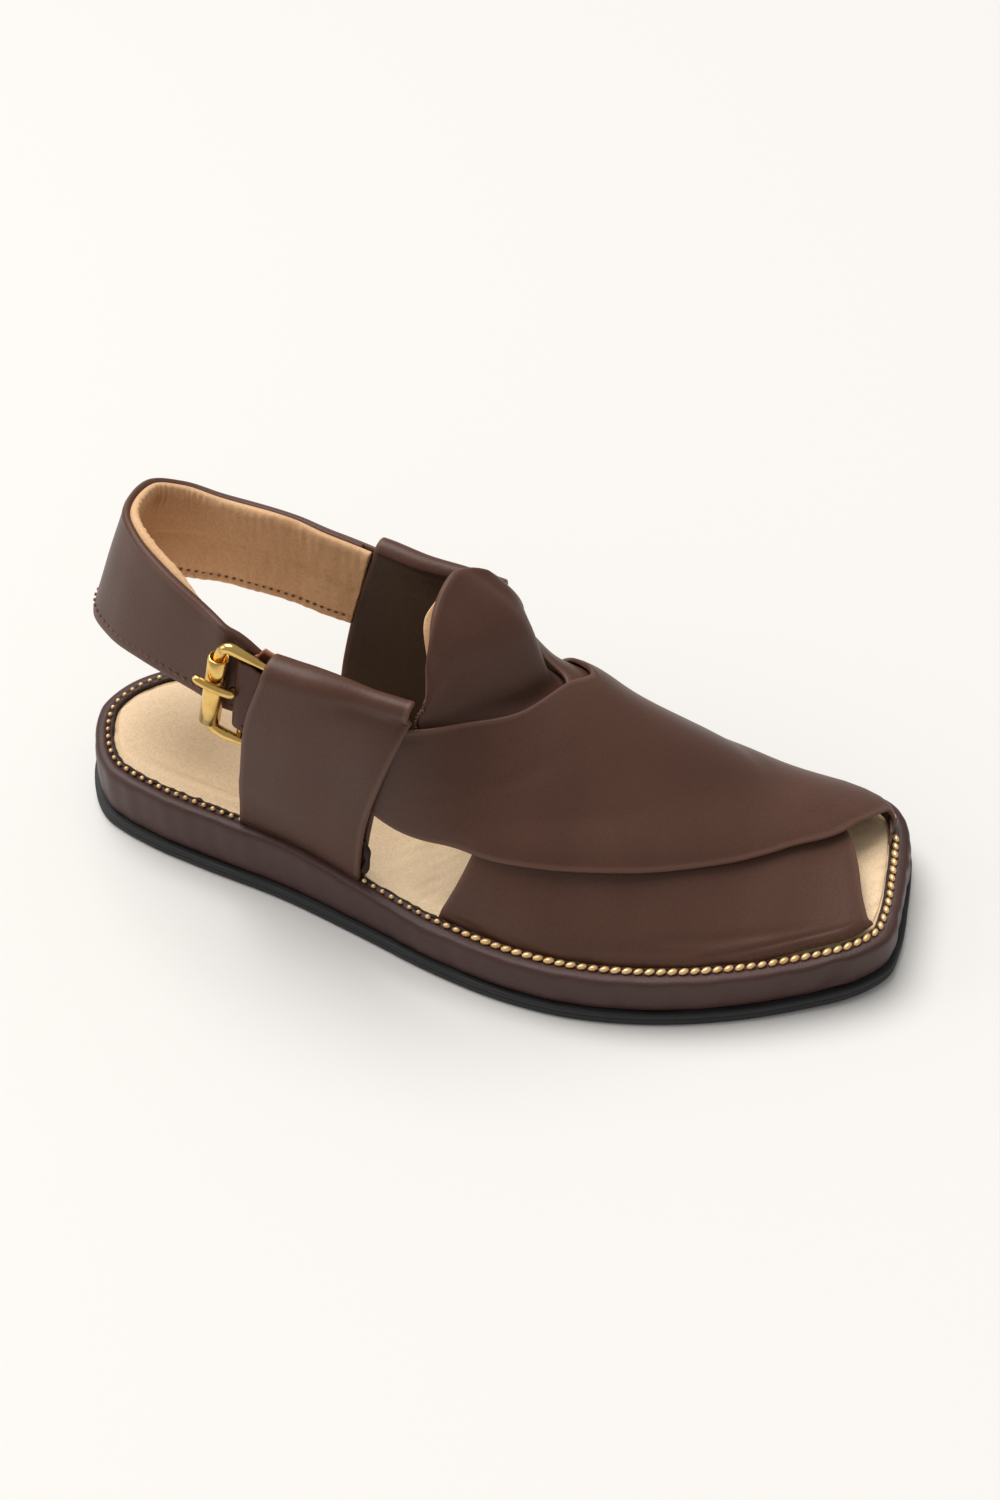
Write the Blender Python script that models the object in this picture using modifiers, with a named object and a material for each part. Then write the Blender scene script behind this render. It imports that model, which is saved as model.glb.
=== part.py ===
"""A right peshawari chappal: a platform sandal with two crossed front straps, two folded
side bands and a buckled heel strap.

Metres, +X to the toe, +Y to the medial side, +Z up, origin on the floor at the middle of the
sole's box. The front straps, tongue and side bands all follow one last: a foot form whose
sections are worked out from the sole's length, the ball's width and the instep's height.
"""

import bmesh
import bpy
import numpy as np

# Driving sizes
SOLE_LENGTH = 0.288
BALL_WIDTH = 0.112
INSTEP_HEIGHT = 0.070
HEEL_HEIGHT = 0.0242
FOREFOOT_HEIGHT = 0.0182
TOE_SPRING = 0.0015
OUTSOLE_THICKNESS = 0.0048
OUTSOLE_PROUD = 0.0020
WRAP_EDGE = 0.0009
INSOLE_THICKNESS = 0.0035
INSOLE_CROWN = 0.0012
RIM_WIDTH = 0.0068
CORD_DIAMETER = 0.0022
STRAP_WALL = 0.0022
BAND_WALL = 0.0020
TONGUE_WALL = 0.0026
HEEL_STRAP_WALL = 0.0022
LINING_THICKNESS = 0.0034
WIRE_DIAMETER = 0.0038
BAR_DIAMETER = 0.0022
BAR_ROOM = 0.0006
ROLLER_DIAMETER = 0.0070
ROLLER_WALL = 0.0010
ROLLER_LENGTH = 0.0290
PRONG_DIAMETER = 0.0026
CHAPE_WALL = 0.0012
NOTCH_WIDTH = 0.0040
NOTCH_REACH = 0.0034
CORD_STOP = 0.0040
TIP_LIFT = 0.0022
GAP = 0.0003

# What follows from them
LAST_INSET = RIM_WIDTH + CORD_DIAMETER / 2 + STRAP_WALL / 2 + 2 * GAP
RECESS_INSET = RIM_WIDTH + CORD_DIAMETER / 2
HALF_RING = 40

# The sole's outline from the heel's middle round the lateral side to the toe and back:
# along is a share of SOLE_LENGTH from the middle, across a share of BALL_WIDTH.
OUTLINE_COLUMNS = ("along", "across")
OUTLINE = (
    (-0.500, 0.036),
    (-0.488, -0.090),
    (-0.452, -0.226),
    (-0.390, -0.292),
    (-0.315, -0.330),
    (-0.200, -0.373),
    (-0.090, -0.440),
    (0.000, -0.500),
    (0.090, -0.536),
    (0.160, -0.535),
    (0.240, -0.496),
    (0.330, -0.410),
    (0.410, -0.298),
    (0.470, -0.186),
    (0.494, -0.105),
    (0.499, 0.000),
    (0.4945, 0.140),
    (0.488, 0.260),
    (0.480, 0.360),
    (0.460, 0.445),
    (0.418, 0.490),
    (0.340, 0.492),
    (0.240, 0.470),
    (0.140, 0.435),
    (0.030, 0.382),
    (-0.090, 0.350),
    (-0.200, 0.342),
    (-0.310, 0.345),
    (-0.390, 0.332),
    (-0.450, 0.262),
    (-0.485, 0.160),
)
TOE_ROW = 16

# The outsole's side: inset and height as shares of OUTSOLE_THICKNESS, with a groove.
TREAD_SIDE_COLUMNS = ("inset", "height")
TREAD_SIDE = (
    (0.12, 0.00),
    (0.00, 0.16),
    (0.00, 0.56),
    (0.09, 0.62),
    (0.00, 0.68),
    (0.10, 1.00),
)

# The last's sections. at: a share of SOLE_LENGTH from the middle. ridge_side: a share of
# BALL_WIDTH. ridge_up: a share of INSTEP_HEIGHT above the platform. The rise, lean and flat
# columns shape each side's curve, as shares of its height and half width.
LAST_COLUMNS = (
    "at", "ridge_side", "ridge_up",
    "lateral_rise", "lateral_lean", "lateral_flat",
    "medial_rise", "medial_lean", "medial_flat",
)
LAST = (
    (-0.260, 0.03, 1.55, 0.45, 0.00, 1.10, 0.45, -0.24, 1.60),
    (-0.156, 0.04, 1.45, 0.45, 0.03, 1.05, 0.45, -0.15, 1.40),
    (-0.070, 0.10, 1.28, 0.42, 0.10, 1.00, 0.45, 0.00, 1.25),
    (0.000, 0.13, 1.06, 0.32, 0.06, 0.62, 0.55, 0.00, 1.20),
    (0.052, 0.09, 0.88, 0.28, 0.03, 0.48, 0.75, 0.00, 0.75),
    (0.100, 0.10, 0.79, 0.26, 0.00, 0.42, 0.75, 0.00, 0.68),
    (0.140, 0.11, 0.69, 0.25, 0.00, 0.40, 0.66, 0.00, 0.58),
    (0.208, 0.12, 0.53, 0.25, 0.00, 0.40, 0.65, 0.00, 0.55),
    (0.278, 0.14, 0.38, 0.25, 0.00, 0.42, 0.60, 0.00, 0.55),
    (0.347, 0.18, 0.23, 0.30, 0.00, 0.45, 0.55, 0.00, 0.50),
    (0.400, 0.21, 0.12, 0.35, 0.00, 0.50, 0.50, 0.00, 0.50),
    (0.470, 0.25, 0.04, 0.40, 0.00, 0.50, 0.50, 0.00, 0.50),
)

# The edges of the two front straps on the last. run: from the strap's end in the sole to its
# end in the side band. at: a share of SOLE_LENGTH. round: from the last's lateral base, 0, over
# its ridge, 0.5, to its medial base, 1.
EDGE_COLUMNS = ("run", "at", "round")
UNDER_STRAP_REAR = (
    (0.00, 0.002, 0.000),
    (0.18, 0.029, 0.130),
    (0.36, 0.056, 0.290),
    (0.52, 0.085, 0.430),
    (0.64, 0.080, 0.540),
    (0.76, 0.040, 0.600),
    (0.88, -0.020, 0.672),
    (1.00, -0.110, 0.757),
)
UNDER_STRAP_FRONT = (
    (0.00, 0.464, 0.000),
    (0.18, 0.447, 0.240),
    (0.36, 0.410, 0.480),
    (0.52, 0.330, 0.640),
    (0.64, 0.240, 0.740),
    (0.76, 0.140, 0.820),
    (0.88, 0.030, 0.860),
    (1.00, -0.110, 0.870),
)
OVER_STRAP_REAR = (
    (0.00, 0.010, 1.000),
    (0.18, 0.030, 0.860),
    (0.36, 0.070, 0.700),
    (0.50, 0.100, 0.580),
    (0.62, 0.075, 0.470),
    (0.75, 0.030, 0.370),
    (0.88, -0.030, 0.299),
    (1.00, -0.130, 0.215),
)
OVER_STRAP_FRONT = (
    (0.00, 0.455, 0.980),
    (0.14, 0.425, 0.560),
    (0.30, 0.350, 0.380),
    (0.46, 0.245, 0.270),
    (0.60, 0.140, 0.210),
    (0.75, 0.020, 0.161),
    (0.88, -0.060, 0.116),
    (1.00, -0.130, 0.122),
)

# How far the upper front strap's middle stands off the last at its rear edge, and how much more
# at its front edge, as shares of STRAP_WALL. It comes down to the last between two places along
# its run, and near its end in the sole.
OVER_LIFT = 0.72
OVER_STAND = 0.55
STAND_FROM = 0.72
STAND_RUN = 0.20
LIFT_DOWN_FROM = 0.62
LIFT_DOWN_OVER = 0.20
LIFT_AT_END = 0.35
LIFT_END_RUN = 0.10

# The tongue, across from its lateral side, -1, to its medial, 1: where it leaves the throat on
# the last, and where its edge stands: along, across and up as shares of SOLE_LENGTH, BALL_WIDTH
# and INSTEP_HEIGHT. bulge is a share of TONGUE_BULGE.
TONGUE_COLUMNS = (
    "across", "throat_at", "throat_round", "edge_along", "edge_across", "edge_up", "bulge",
)
TONGUE = (
    (-1.00, -0.036, 0.290, -0.036, -0.160, 1.150, 0.2),
    (-0.80, -0.040, 0.296, -0.043, -0.142, 1.321, 0.3),
    (-0.55, -0.018, 0.335, -0.047, -0.098, 1.521, 0.7),
    (-0.25, 0.036, 0.415, -0.049, -0.009, 1.614, 0.9),
    (0.00, 0.066, 0.490, -0.045, 0.071, 1.643, 1.0),
    (0.30, 0.062, 0.545, -0.036, 0.134, 1.607, 1.0),
    (0.60, 0.026, 0.590, -0.020, 0.172, 1.560, 0.9),
    (0.85, 0.018, 0.605, -0.004, 0.190, 1.460, 0.7),
    (1.00, 0.012, 0.612, 0.000, 0.196, 1.370, 0.5),
)
TONGUE_BULGE = 0.0060
TONGUE_LAP = 0.030

# The side bands: their rear and front edges along the sole, as shares of SOLE_LENGTH, at each
# share of the band's height.
BAND_COLUMNS = ("height", "rear", "front")
LATERAL_BAND = (
    (0.00, -0.257, -0.101),
    (0.35, -0.254, -0.098),
    (0.70, -0.242, -0.078),
    (1.00, -0.212, -0.049),
)
MEDIAL_BAND = (
    (0.00, -0.216, -0.075),
    (0.35, -0.205, -0.055),
    (0.70, -0.186, -0.030),
    (1.00, -0.160, -0.010),
)
# Their tops' heights from the floor, rear and front, and the room inside each sleeve.
LATERAL_BAND_TOP = (0.0990, 0.0950)
MEDIAL_BAND_TOP = (0.1030, 0.1010)
SLEEVE = STRAP_WALL + 5 * GAP
BUCKLE_SLEEVE = HEEL_STRAP_WALL + 2 * CHAPE_WALL + BAR_DIAMETER + 2 * BAR_ROOM + 3 * GAP
# A band follows the last, and above the first height goes straight on. From the second height
# its front half turns to a straight upper edge: the edge's ends as shares of BALL_WIDTH, and the
# shares of the band's length between which the turn comes in.
BAND_STRAIGHT_FROM = 0.088
BAND_TOP_FROM = 0.084
BAND_TURNS_AT = (0.30, 0.70)
LATERAL_TOP_ACROSS = (-0.249, -0.2715)
MEDIAL_TOP_ACROSS = (0.271, 0.235)
# Its foot moves out from the last by a shift.
LATERAL_FOOT_SHIFT = 0.0015
MEDIAL_FOOT_SHIFT = -0.0009

# The heel strap's lower and upper edges outside, from its end in the lateral band round the
# heel to its end in the medial one: along as shares of SOLE_LENGTH, across of BALL_WIDTH, up of
# INSTEP_HEIGHT from the floor. Inside the bands the strap follows their walls instead.
HEEL_STRAP_COLUMNS = (
    "low_along", "low_across", "low_up", "high_along", "high_across", "high_up",
)
HEEL_STRAP = (
    (-0.208, -0.260, 1.014, -0.191, -0.255, 1.286),
    (-0.236, -0.255, 1.007, -0.219, -0.252, 1.329),
    (-0.267, -0.246, 0.993, -0.250, -0.245, 1.414),
    (-0.323, -0.212, 1.021, -0.302, -0.183, 1.486),
    (-0.389, -0.152, 1.029, -0.358, -0.120, 1.557),
    (-0.446, -0.073, 1.007, -0.410, -0.027, 1.593),
    (-0.485, 0.025, 0.986, -0.439, 0.071, 1.593),
    (-0.494, 0.107, 0.971, -0.446, 0.152, 1.579),
    (-0.481, 0.218, 0.971, -0.438, 0.246, 1.564),
    (-0.434, 0.290, 0.971, -0.406, 0.312, 1.505),
    (-0.365, 0.317, 0.971, -0.358, 0.326, 1.462),
    (-0.278, 0.318, 0.950, -0.274, 0.325, 1.436),
    (-0.212, 0.305, 0.929, -0.205, 0.303, 1.410),
    (-0.155, 0.298, 0.914, -0.145, 0.290, 1.388),
)
LATERAL_LEAD = (-0.285, 0.028)
MEDIAL_LEAD = (-0.265, 0.045)
LINING_SPAN = (0.110, 0.937)
LINING_END_LEAN = 0.032

# The padded lining's section: share of the strap's height, and depth as a share of its own
# thickness, in from the strap.
LINING_SECTION_COLUMNS = ("share", "depth")
LINING_SECTION = (
    (0.07, 0.00),
    (0.00, 0.30),
    (0.01, 0.78),
    (0.09, 1.00),
    (0.40, 0.96),
    (0.50, 0.88),
    (0.60, 0.96),
    (0.88, 1.00),
    (0.98, 1.06),
    (1.04, 0.75),
    (1.03, 0.20),
    (0.94, 0.00),
    (0.50, 0.00),
)

# The buckle's frame: its six corners, along and up in metres, from the bottom of the roller's
# bar round over the top. room is what is left between the roller and the heel strap there. The
# two front corners have thin wire and lie in the folded leather, in line with the middle bar.
FRAME_COLUMNS = ("along", "up", "room")
FRAME_CORNERS = (
    (-0.0834, 0.0650, 0.0006),
    (-0.0772, 0.0970, 0.0012),
    (-0.0746, 0.1004, 0.0016),
    (-0.0588, 0.0938, 0.0000),
    (-0.0630, 0.0600, 0.0000),
    (-0.0790, 0.0622, 0.0000),
)
THIN_CORNERS = (3, 4)
FRAME_ROUND = 0.0024
# The middle bar's lower and upper ends, along and up.
BAR_ENDS = ((-0.0730, 0.0614), (-0.0684, 0.0977))
# The prong: its tip, along and up, the share of the bar's height where it starts, how far its
# knee stands out and up from there, and its thickness along it as shares of PRONG_DIAMETER.
PRONG_TIP = (-0.0832, 0.0882)
PRONG_AT = 0.61
PRONG_KNEE = (-0.0044, 0.0004)
PRONG_BEND = 0.0006
PRONG_DROP = 0.0009
PRONG_OVERHANG = 0.08
PRONG_THICKNESS = (1.0, 1.0, 0.95, 0.8, 0.45)
# The folded leather around the middle bar: from its fold to its end inside the band, the height
# of its upper edge and of its lower edge, outside and inside.
CHAPE_COLUMNS = ("depth", "top", "low_outside", "low_inside")
CHAPE = (
    (0.0000, 0.0955, 0.0690, 0.0690),
    (0.0025, 0.0950, 0.0672, 0.0680),
    (0.0055, 0.0935, 0.0605, 0.0660),
    (0.0100, 0.0922, 0.0590, 0.0650),
    (0.0150, 0.0912, 0.0595, 0.0650),
)


def column(table, columns, name):
    """One named column of a table."""
    return np.array([row[columns.index(name)] for row in table], dtype=float)


def follow(knots, values, at):
    """A smooth curve through a table's rows: cubic pieces that share their slopes."""
    at = np.clip(at, knots[0], knots[-1])
    slopes = np.gradient(values, knots)
    i = np.clip(np.searchsorted(knots, at) - 1, 0, len(knots) - 2)
    width = knots[i + 1] - knots[i]
    t = (at - knots[i]) / width
    return (
        values[i] * (1 + 2 * t) * (1 - t) ** 2
        + values[i + 1] * t * t * (3 - 2 * t)
        + slopes[i] * width * t * (1 - t) ** 2
        - slopes[i + 1] * width * t * t * (1 - t)
    )


def ease(t):
    """From 0 to 1 with no slope at either end."""
    t = np.clip(t, 0.0, 1.0)
    return t * t * (3 - 2 * t)


def floor_line(x):
    """Height of the sole's underside: flat, and lifted at the toe."""
    start = 0.28 * SOLE_LENGTH
    return TOE_SPRING * np.clip((x - start) / (SOLE_LENGTH / 2 - start), 0.0, 1.0) ** 2


def platform(x):
    """Height of the platform's rim: high at the heel, down to the forefoot."""
    slope = ease((x / SOLE_LENGTH + 0.235) / 0.23)
    return floor_line(x) + HEEL_HEIGHT + (FOREFOOT_HEIGHT - HEEL_HEIGHT) * slope


def outline_points():
    """The outline as a fine closed curve, with the index of the toe's middle."""
    rows = np.column_stack([
        column(OUTLINE, OUTLINE_COLUMNS, "along") * SOLE_LENGTH,
        column(OUTLINE, OUTLINE_COLUMNS, "across") * BALL_WIDTH,
    ])
    loop = np.vstack([rows[-2:], rows, rows[:3]])
    knots = np.concatenate([[0.0], np.cumsum(np.hypot(*np.diff(loop, axis=0).T))])
    toe = knots[2 + TOE_ROW]
    start, end = knots[2], knots[-3]
    halves = []
    for a, b in ((start, toe), (toe, end)):
        fine = np.linspace(a, b, 1200)
        curve = np.column_stack([follow(knots, loop[:, k], fine) for k in (0, 1)])
        run = np.concatenate([[0.0], np.cumsum(np.hypot(*np.diff(curve, axis=0).T))])
        even = np.linspace(0.0, run[-1], HALF_RING + 1)[:-1]
        halves.append(np.column_stack([np.interp(even, run, curve[:, k]) for k in (0, 1)]))
    return np.vstack(halves)


RING = outline_points()
TANGENT = np.roll(RING, -1, axis=0) - np.roll(RING, 1, axis=0)
TANGENT /= np.hypot(TANGENT[:, 0], TANGENT[:, 1])[:, None]
INWARD = np.column_stack([-TANGENT[:, 1], TANGENT[:, 0]])


def ring(inset):
    """The outline moved inwards."""
    return RING + INWARD * inset


BASE_RING = ring(LAST_INSET)


def base_sides(x):
    """The last's lateral and medial base lines at x."""
    lateral = BASE_RING[1:HALF_RING]
    medial = BASE_RING[HALF_RING + 1:][::-1]
    return np.interp(x, *lateral.T), np.interp(x, *medial.T)


def last(x, around):
    """A point of the last: at x, from its lateral base, 0, over the ridge to the medial, 1.

    Each side is a cubic curve from the base, up by its rise, to a level arrival at the ridge.
    """
    x, around = np.broadcast_arrays(np.asarray(x, float), np.asarray(around, float))
    at = column(LAST, LAST_COLUMNS, "at") * SOLE_LENGTH

    def value(name):
        return follow(at, column(LAST, LAST_COLUMNS, name), x)

    lateral_base, medial_base = base_sides(x)
    foot = platform(x) + 2 * GAP + TIP_LIFT * ease((x / SOLE_LENGTH - 0.30) / 0.12)
    ridge = value("ridge_side") * BALL_WIDTH
    up = value("ridge_up") * INSTEP_HEIGHT
    lateral = around < 0.5
    base = np.where(lateral, lateral_base, medial_base)
    rise = np.where(lateral, value("lateral_rise"), value("medial_rise"))
    lean = np.where(lateral, value("lateral_lean"), value("medial_lean"))
    flat = np.where(lateral, value("lateral_flat"), value("medial_flat"))
    t = 1 - np.abs(2 * around - 1)
    half = ridge - base
    y = (
        base * (1 - t) ** 3
        + 3 * (base + lean * half) * t * (1 - t) ** 2
        + 3 * (ridge - flat * half) * t * t * (1 - t)
        + ridge * t ** 3
    )
    z = foot + up * (3 * rise * t * (1 - t) ** 2 + 3 * t * t * (1 - t) + t ** 3)
    return np.stack([x, y, z], axis=-1)


def around_at(x, height, side):
    """Where the last's side reaches a height: its place around the section, by halving."""
    low = np.zeros_like(np.broadcast_arrays(x, height)[0], dtype=float)
    high = low + 0.5
    for _ in range(30):
        middle = (low + high) / 2
        place = middle if side < 0 else 1 - middle
        below = last(x, place)[..., 2] < height
        low = np.where(below, middle, low)
        high = np.where(below, high, middle)
    return middle if side < 0 else 1 - middle


def grid_normals(grid):
    """Unit normals of a grid of points, from its two directions."""
    along = np.gradient(grid, axis=0)
    across = np.gradient(grid, axis=1)
    normal = np.cross(along, across)
    return normal / np.linalg.norm(normal, axis=2, keepdims=True)


def outward_normals(grid):
    """Grid normals turned to point away from the foot's middle line."""
    normal = grid_normals(grid)
    middle = grid.reshape(-1, 3).mean(axis=0) * (1.0, 0.0, 0.0)
    outward = np.sum(normal * (grid - middle), axis=2).sum()
    return normal * np.sign(outward)


def new_object(name, vertices, faces, folder):
    """An object from vertices and faces, smooth, with its normals pointing out."""
    mesh = bpy.data.meshes.new(name)
    mesh.from_pydata([tuple(map(float, v)) for v in vertices], [], faces)
    work = bmesh.new()
    work.from_mesh(mesh)
    bmesh.ops.recalc_face_normals(work, faces=work.faces)
    work.to_mesh(mesh)
    work.free()
    mesh.shade_smooth()
    obj = bpy.data.objects.new(name, mesh)
    folder.objects.link(obj)
    return obj


def sheet(name, grid, folder, wall, offset=0.0):
    """A grid of points made a sheet of leather: an open surface with Solidify."""
    rows, columns = grid.shape[:2]
    index = np.arange(rows * columns).reshape(rows, columns)
    faces = np.stack(
        [index[:-1, :-1], index[1:, :-1], index[1:, 1:], index[:-1, 1:]], axis=-1
    ).reshape(-1, 4).tolist()
    mesh = bpy.data.meshes.new(name)
    mesh.from_pydata(grid.reshape(-1, 3).tolist(), [], faces)
    mesh.shade_smooth()
    obj = bpy.data.objects.new(name, mesh)
    folder.objects.link(obj)
    solidify = obj.modifiers.new("wall", "SOLIDIFY")
    solidify.thickness = wall
    solidify.offset = offset
    return obj


def tube(name, rings, folder):
    """Closed rings of points joined into a tube with flat ends."""
    count, around = rings.shape[:2]
    index = np.arange(count * around).reshape(count, around)
    turned = np.roll(index, -1, axis=1)
    faces = np.stack([index[:-1], turned[:-1], turned[1:], index[1:]], axis=-1)
    faces = faces.reshape(-1, 4).tolist()
    faces += [index[0].tolist(), index[-1][::-1].tolist()]
    return new_object(name, rings.reshape(-1, 3), faces, folder)


def slab(name, levels, folder, crown=None, columns=2):
    """A layer of the sole: rings from its underside to its top, closed by strips across.

    Each level is an inset and a function of x that gives its height. crown adds height over
    the top strip, as a function of the share across.
    """
    vertices = []
    for inset, height in levels:
        xy = ring(inset)
        vertices += np.column_stack([xy, height(xy[:, 0])]).tolist()
    size = 2 * HALF_RING
    faces = []
    for level in range(len(levels) - 1):
        for i in range(size):
            j = (i + 1) % size
            low, high = level * size, (level + 1) * size
            faces.append([low + i, low + j, high + j, high + i])
    for level, across, lift in ((0, 2, None), (len(levels) - 1, columns, crown)):
        first = level * size
        rows = [[first] * (across + 1)]
        for i in range(1, HALF_RING):
            left, right = first + i, first + size - i
            row = [left]
            for k in range(1, across):
                share = k / across
                point = np.array(vertices[left]) * (1 - share) + np.array(vertices[right]) * share
                point[2] = levels[level][1](point[0]) + (lift(share) if lift else 0.0)
                row.append(len(vertices))
                vertices.append(point.tolist())
            rows.append(row + [right])
        rows.append([first + HALF_RING] * (across + 1))
        for a, b in zip(rows[:-1], rows[1:]):
            for k in range(across):
                face = list(dict.fromkeys([a[k], b[k], b[k + 1], a[k + 1]]))
                if len(face) > 2:
                    faces.append(face)
    return new_object(name, vertices, faces, folder)


def material(name, colour, roughness, metallic=0.0):
    """A plain Principled material."""
    made = bpy.data.materials.new(name)
    made.use_nodes = True
    shader = made.node_tree.nodes["Principled BSDF"]
    shader.inputs["Base Color"].default_value = (*colour, 1.0)
    shader.inputs["Roughness"].default_value = roughness
    shader.inputs["Metallic"].default_value = metallic
    return made


def make_sole(folder):
    """Outsole, wrapped midsole with its recess, and padded insole."""
    side = zip(
        column(TREAD_SIDE, TREAD_SIDE_COLUMNS, "inset") * OUTSOLE_THICKNESS,
        column(TREAD_SIDE, TREAD_SIDE_COLUMNS, "height") * OUTSOLE_THICKNESS,
    )
    outsole = slab(
        "outsole", [(inset, lambda x, up=up: floor_line(x) + up) for inset, up in side], folder
    )
    seat = OUTSOLE_THICKNESS + GAP
    edge = WRAP_EDGE
    recess = INSOLE_THICKNESS + GAP
    midsole = slab("midsole", [
        (OUTSOLE_PROUD + edge, lambda x: floor_line(x) + seat),
        (OUTSOLE_PROUD, lambda x: floor_line(x) + seat + edge),
        (OUTSOLE_PROUD, lambda x: platform(x) - 2 * edge),
        (OUTSOLE_PROUD + edge, lambda x: platform(x) - 0.8 * edge),
        (RECESS_INSET, platform),
        (RECESS_INSET, lambda x: platform(x) - recess),
    ], folder)
    insole = slab("insole", [
        (RECESS_INSET + GAP, lambda x: platform(x) - INSOLE_THICKNESS),
        (RECESS_INSET + GAP, lambda x: platform(x) - edge / 2),
        (RECESS_INSET + GAP + edge, platform),
    ], folder, lambda s: INSOLE_CROWN * ease(2.5 * min(s, 1 - s)), 6)
    return outsole, midsole, insole


def edge_rows(table, run):
    """A front strap's edge on the last, at each place along its run."""
    knots = column(table, EDGE_COLUMNS, "run")
    at = follow(knots, column(table, EDGE_COLUMNS, "at"), run) * SOLE_LENGTH
    around = follow(knots, column(table, EDGE_COLUMNS, "round"), run)
    return at, np.clip(around, 0.0, 1.0)


def strap_grid(rear, front, along, across):
    """A front strap's middle surface: lines on the last from its rear edge to its front."""
    run = np.linspace(0.0, 1.0, along)[:, None]
    share = np.linspace(0.0, 1.0, across)[None, :]
    rear_at, rear_round = edge_rows(rear, run)
    front_at, front_round = edge_rows(front, run)
    at = rear_at + (front_at - rear_at) * share
    around = rear_round + (front_round - rear_round) * share
    return last(at, around), run, share


def make_upper(folder, cutters):
    """The two front straps, fused where they cross into one wall."""
    under, run, share = strap_grid(UNDER_STRAP_REAR, UNDER_STRAP_FRONT, 30, 12)
    over, run, share = strap_grid(OVER_STRAP_REAR, OVER_STRAP_FRONT, 38, 12)
    stand = ease((share - STAND_FROM) / (1 - STAND_FROM)) * ease(run / STAND_RUN)
    lift = STRAP_WALL * (OVER_LIFT + OVER_STAND * stand)
    lift = lift * (1 - ease((run - LIFT_DOWN_FROM) / LIFT_DOWN_OVER))
    lift = lift * ease(LIFT_AT_END + run / LIFT_END_RUN)
    over = over + outward_normals(over) * lift[..., None]
    upper = sheet("upper", over, folder, STRAP_WALL)
    lower = sheet("under_strap", under, cutters, STRAP_WALL)
    combine(upper, lower, "UNION", "crossing")
    return upper


def wall_across(x, up, side):
    """How far across the middle of a side band's sleeve is, at a place along and a height."""
    x, up = np.broadcast_arrays(np.asarray(x, float), np.asarray(up, float))
    probe = 0.006
    lower = last(x, around_at(x, BAND_STRAIGHT_FROM - probe + 0 * up, side))
    higher = last(x, around_at(x, BAND_STRAIGHT_FROM + 0 * up, side))
    slope = (higher - lower)[..., 1] / probe
    on_last = last(x, around_at(x, np.minimum(up, BAND_STRAIGHT_FROM), side))
    return on_last[..., 1] + slope * np.maximum(up - BAND_STRAIGHT_FROM, 0.0)


def band_place(table, tops, side, height, share):
    """A point of a side band's middle surface, at a share of its height and length."""
    ends = np.array(LATERAL_TOP_ACROSS if side < 0 else MEDIAL_TOP_ACROSS) * BALL_WIDTH
    knots = column(table, BAND_COLUMNS, "height")
    rear = follow(knots, column(table, BAND_COLUMNS, "rear"), height) * SOLE_LENGTH
    front = follow(knots, column(table, BAND_COLUMNS, "front"), height) * SOLE_LENGTH
    x = rear + (front - rear) * share
    top = tops[0] + (tops[1] - tops[0]) * share
    foot = platform(x) + 3 * GAP
    up = foot + (top - foot) * height
    turned = ease((up - BAND_TOP_FROM) / (top - BAND_TOP_FROM))
    turned = turned * ease((share - BAND_TURNS_AT[0]) / (BAND_TURNS_AT[1] - BAND_TURNS_AT[0]))
    edge = ends[0] + (ends[1] - ends[0]) * share
    across = wall_across(x, up, side) * (1 - turned) + edge * turned
    return np.stack([x, across, up], axis=-1)


def make_band(name, table, tops, side, sleeve_rear, foot_shift, folder):
    """A side band: up from the sole outside, folded over, and down again inside.

    The two walls stand half a sleeve off the last on each side, less near the sole, where
    they are sewn together.
    """
    length, rise, turn = 9, 8, 5
    share = np.linspace(0.0, 1.0, length)[:, None]
    height = np.concatenate([np.linspace(0.0, 1.0, rise), np.ones(turn)])
    height = np.concatenate([height, height[:rise][::-1]])[None, :]
    angle = np.pi * np.clip((np.arange(2 * rise + turn) - rise + 1) / (turn + 1), 0, 1)[None, :]
    narrow = ease((share - 0.25) / 0.5)
    reach = (sleeve_rear + (SLEEVE - sleeve_rear) * narrow + BAND_WALL) / 2
    tops = np.array(tops) - (np.array([sleeve_rear, SLEEVE]) / 2 + BAND_WALL)
    flat = 0 * share * height
    middle = band_place(table, tops, side, height + flat, share + flat)
    step = 0.02
    rising = (
        band_place(table, tops, side, height + step + flat, share + flat)
        - band_place(table, tops, side, height - step + flat, share + flat)
    )
    along = (
        band_place(table, tops, side, height + flat, share * (1 - 2 * step) + 2 * step + flat)
        - band_place(table, tops, side, height + flat, share * (1 - 2 * step) + flat)
    )
    rising /= np.linalg.norm(rising, axis=2, keepdims=True)
    outward = np.cross(along, rising) * -side
    outward /= np.linalg.norm(outward, axis=2, keepdims=True)
    free = ease(height / 0.35)
    reach = BAND_WALL * 0.6 + (reach - BAND_WALL * 0.6) * free
    grid = (
        middle
        + outward * (reach * np.cos(angle) + foot_shift * (1 - free))[..., None]
        + rising * (reach * np.sin(angle))[..., None]
    )
    return sheet(name, grid, folder, BAND_WALL)


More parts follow.
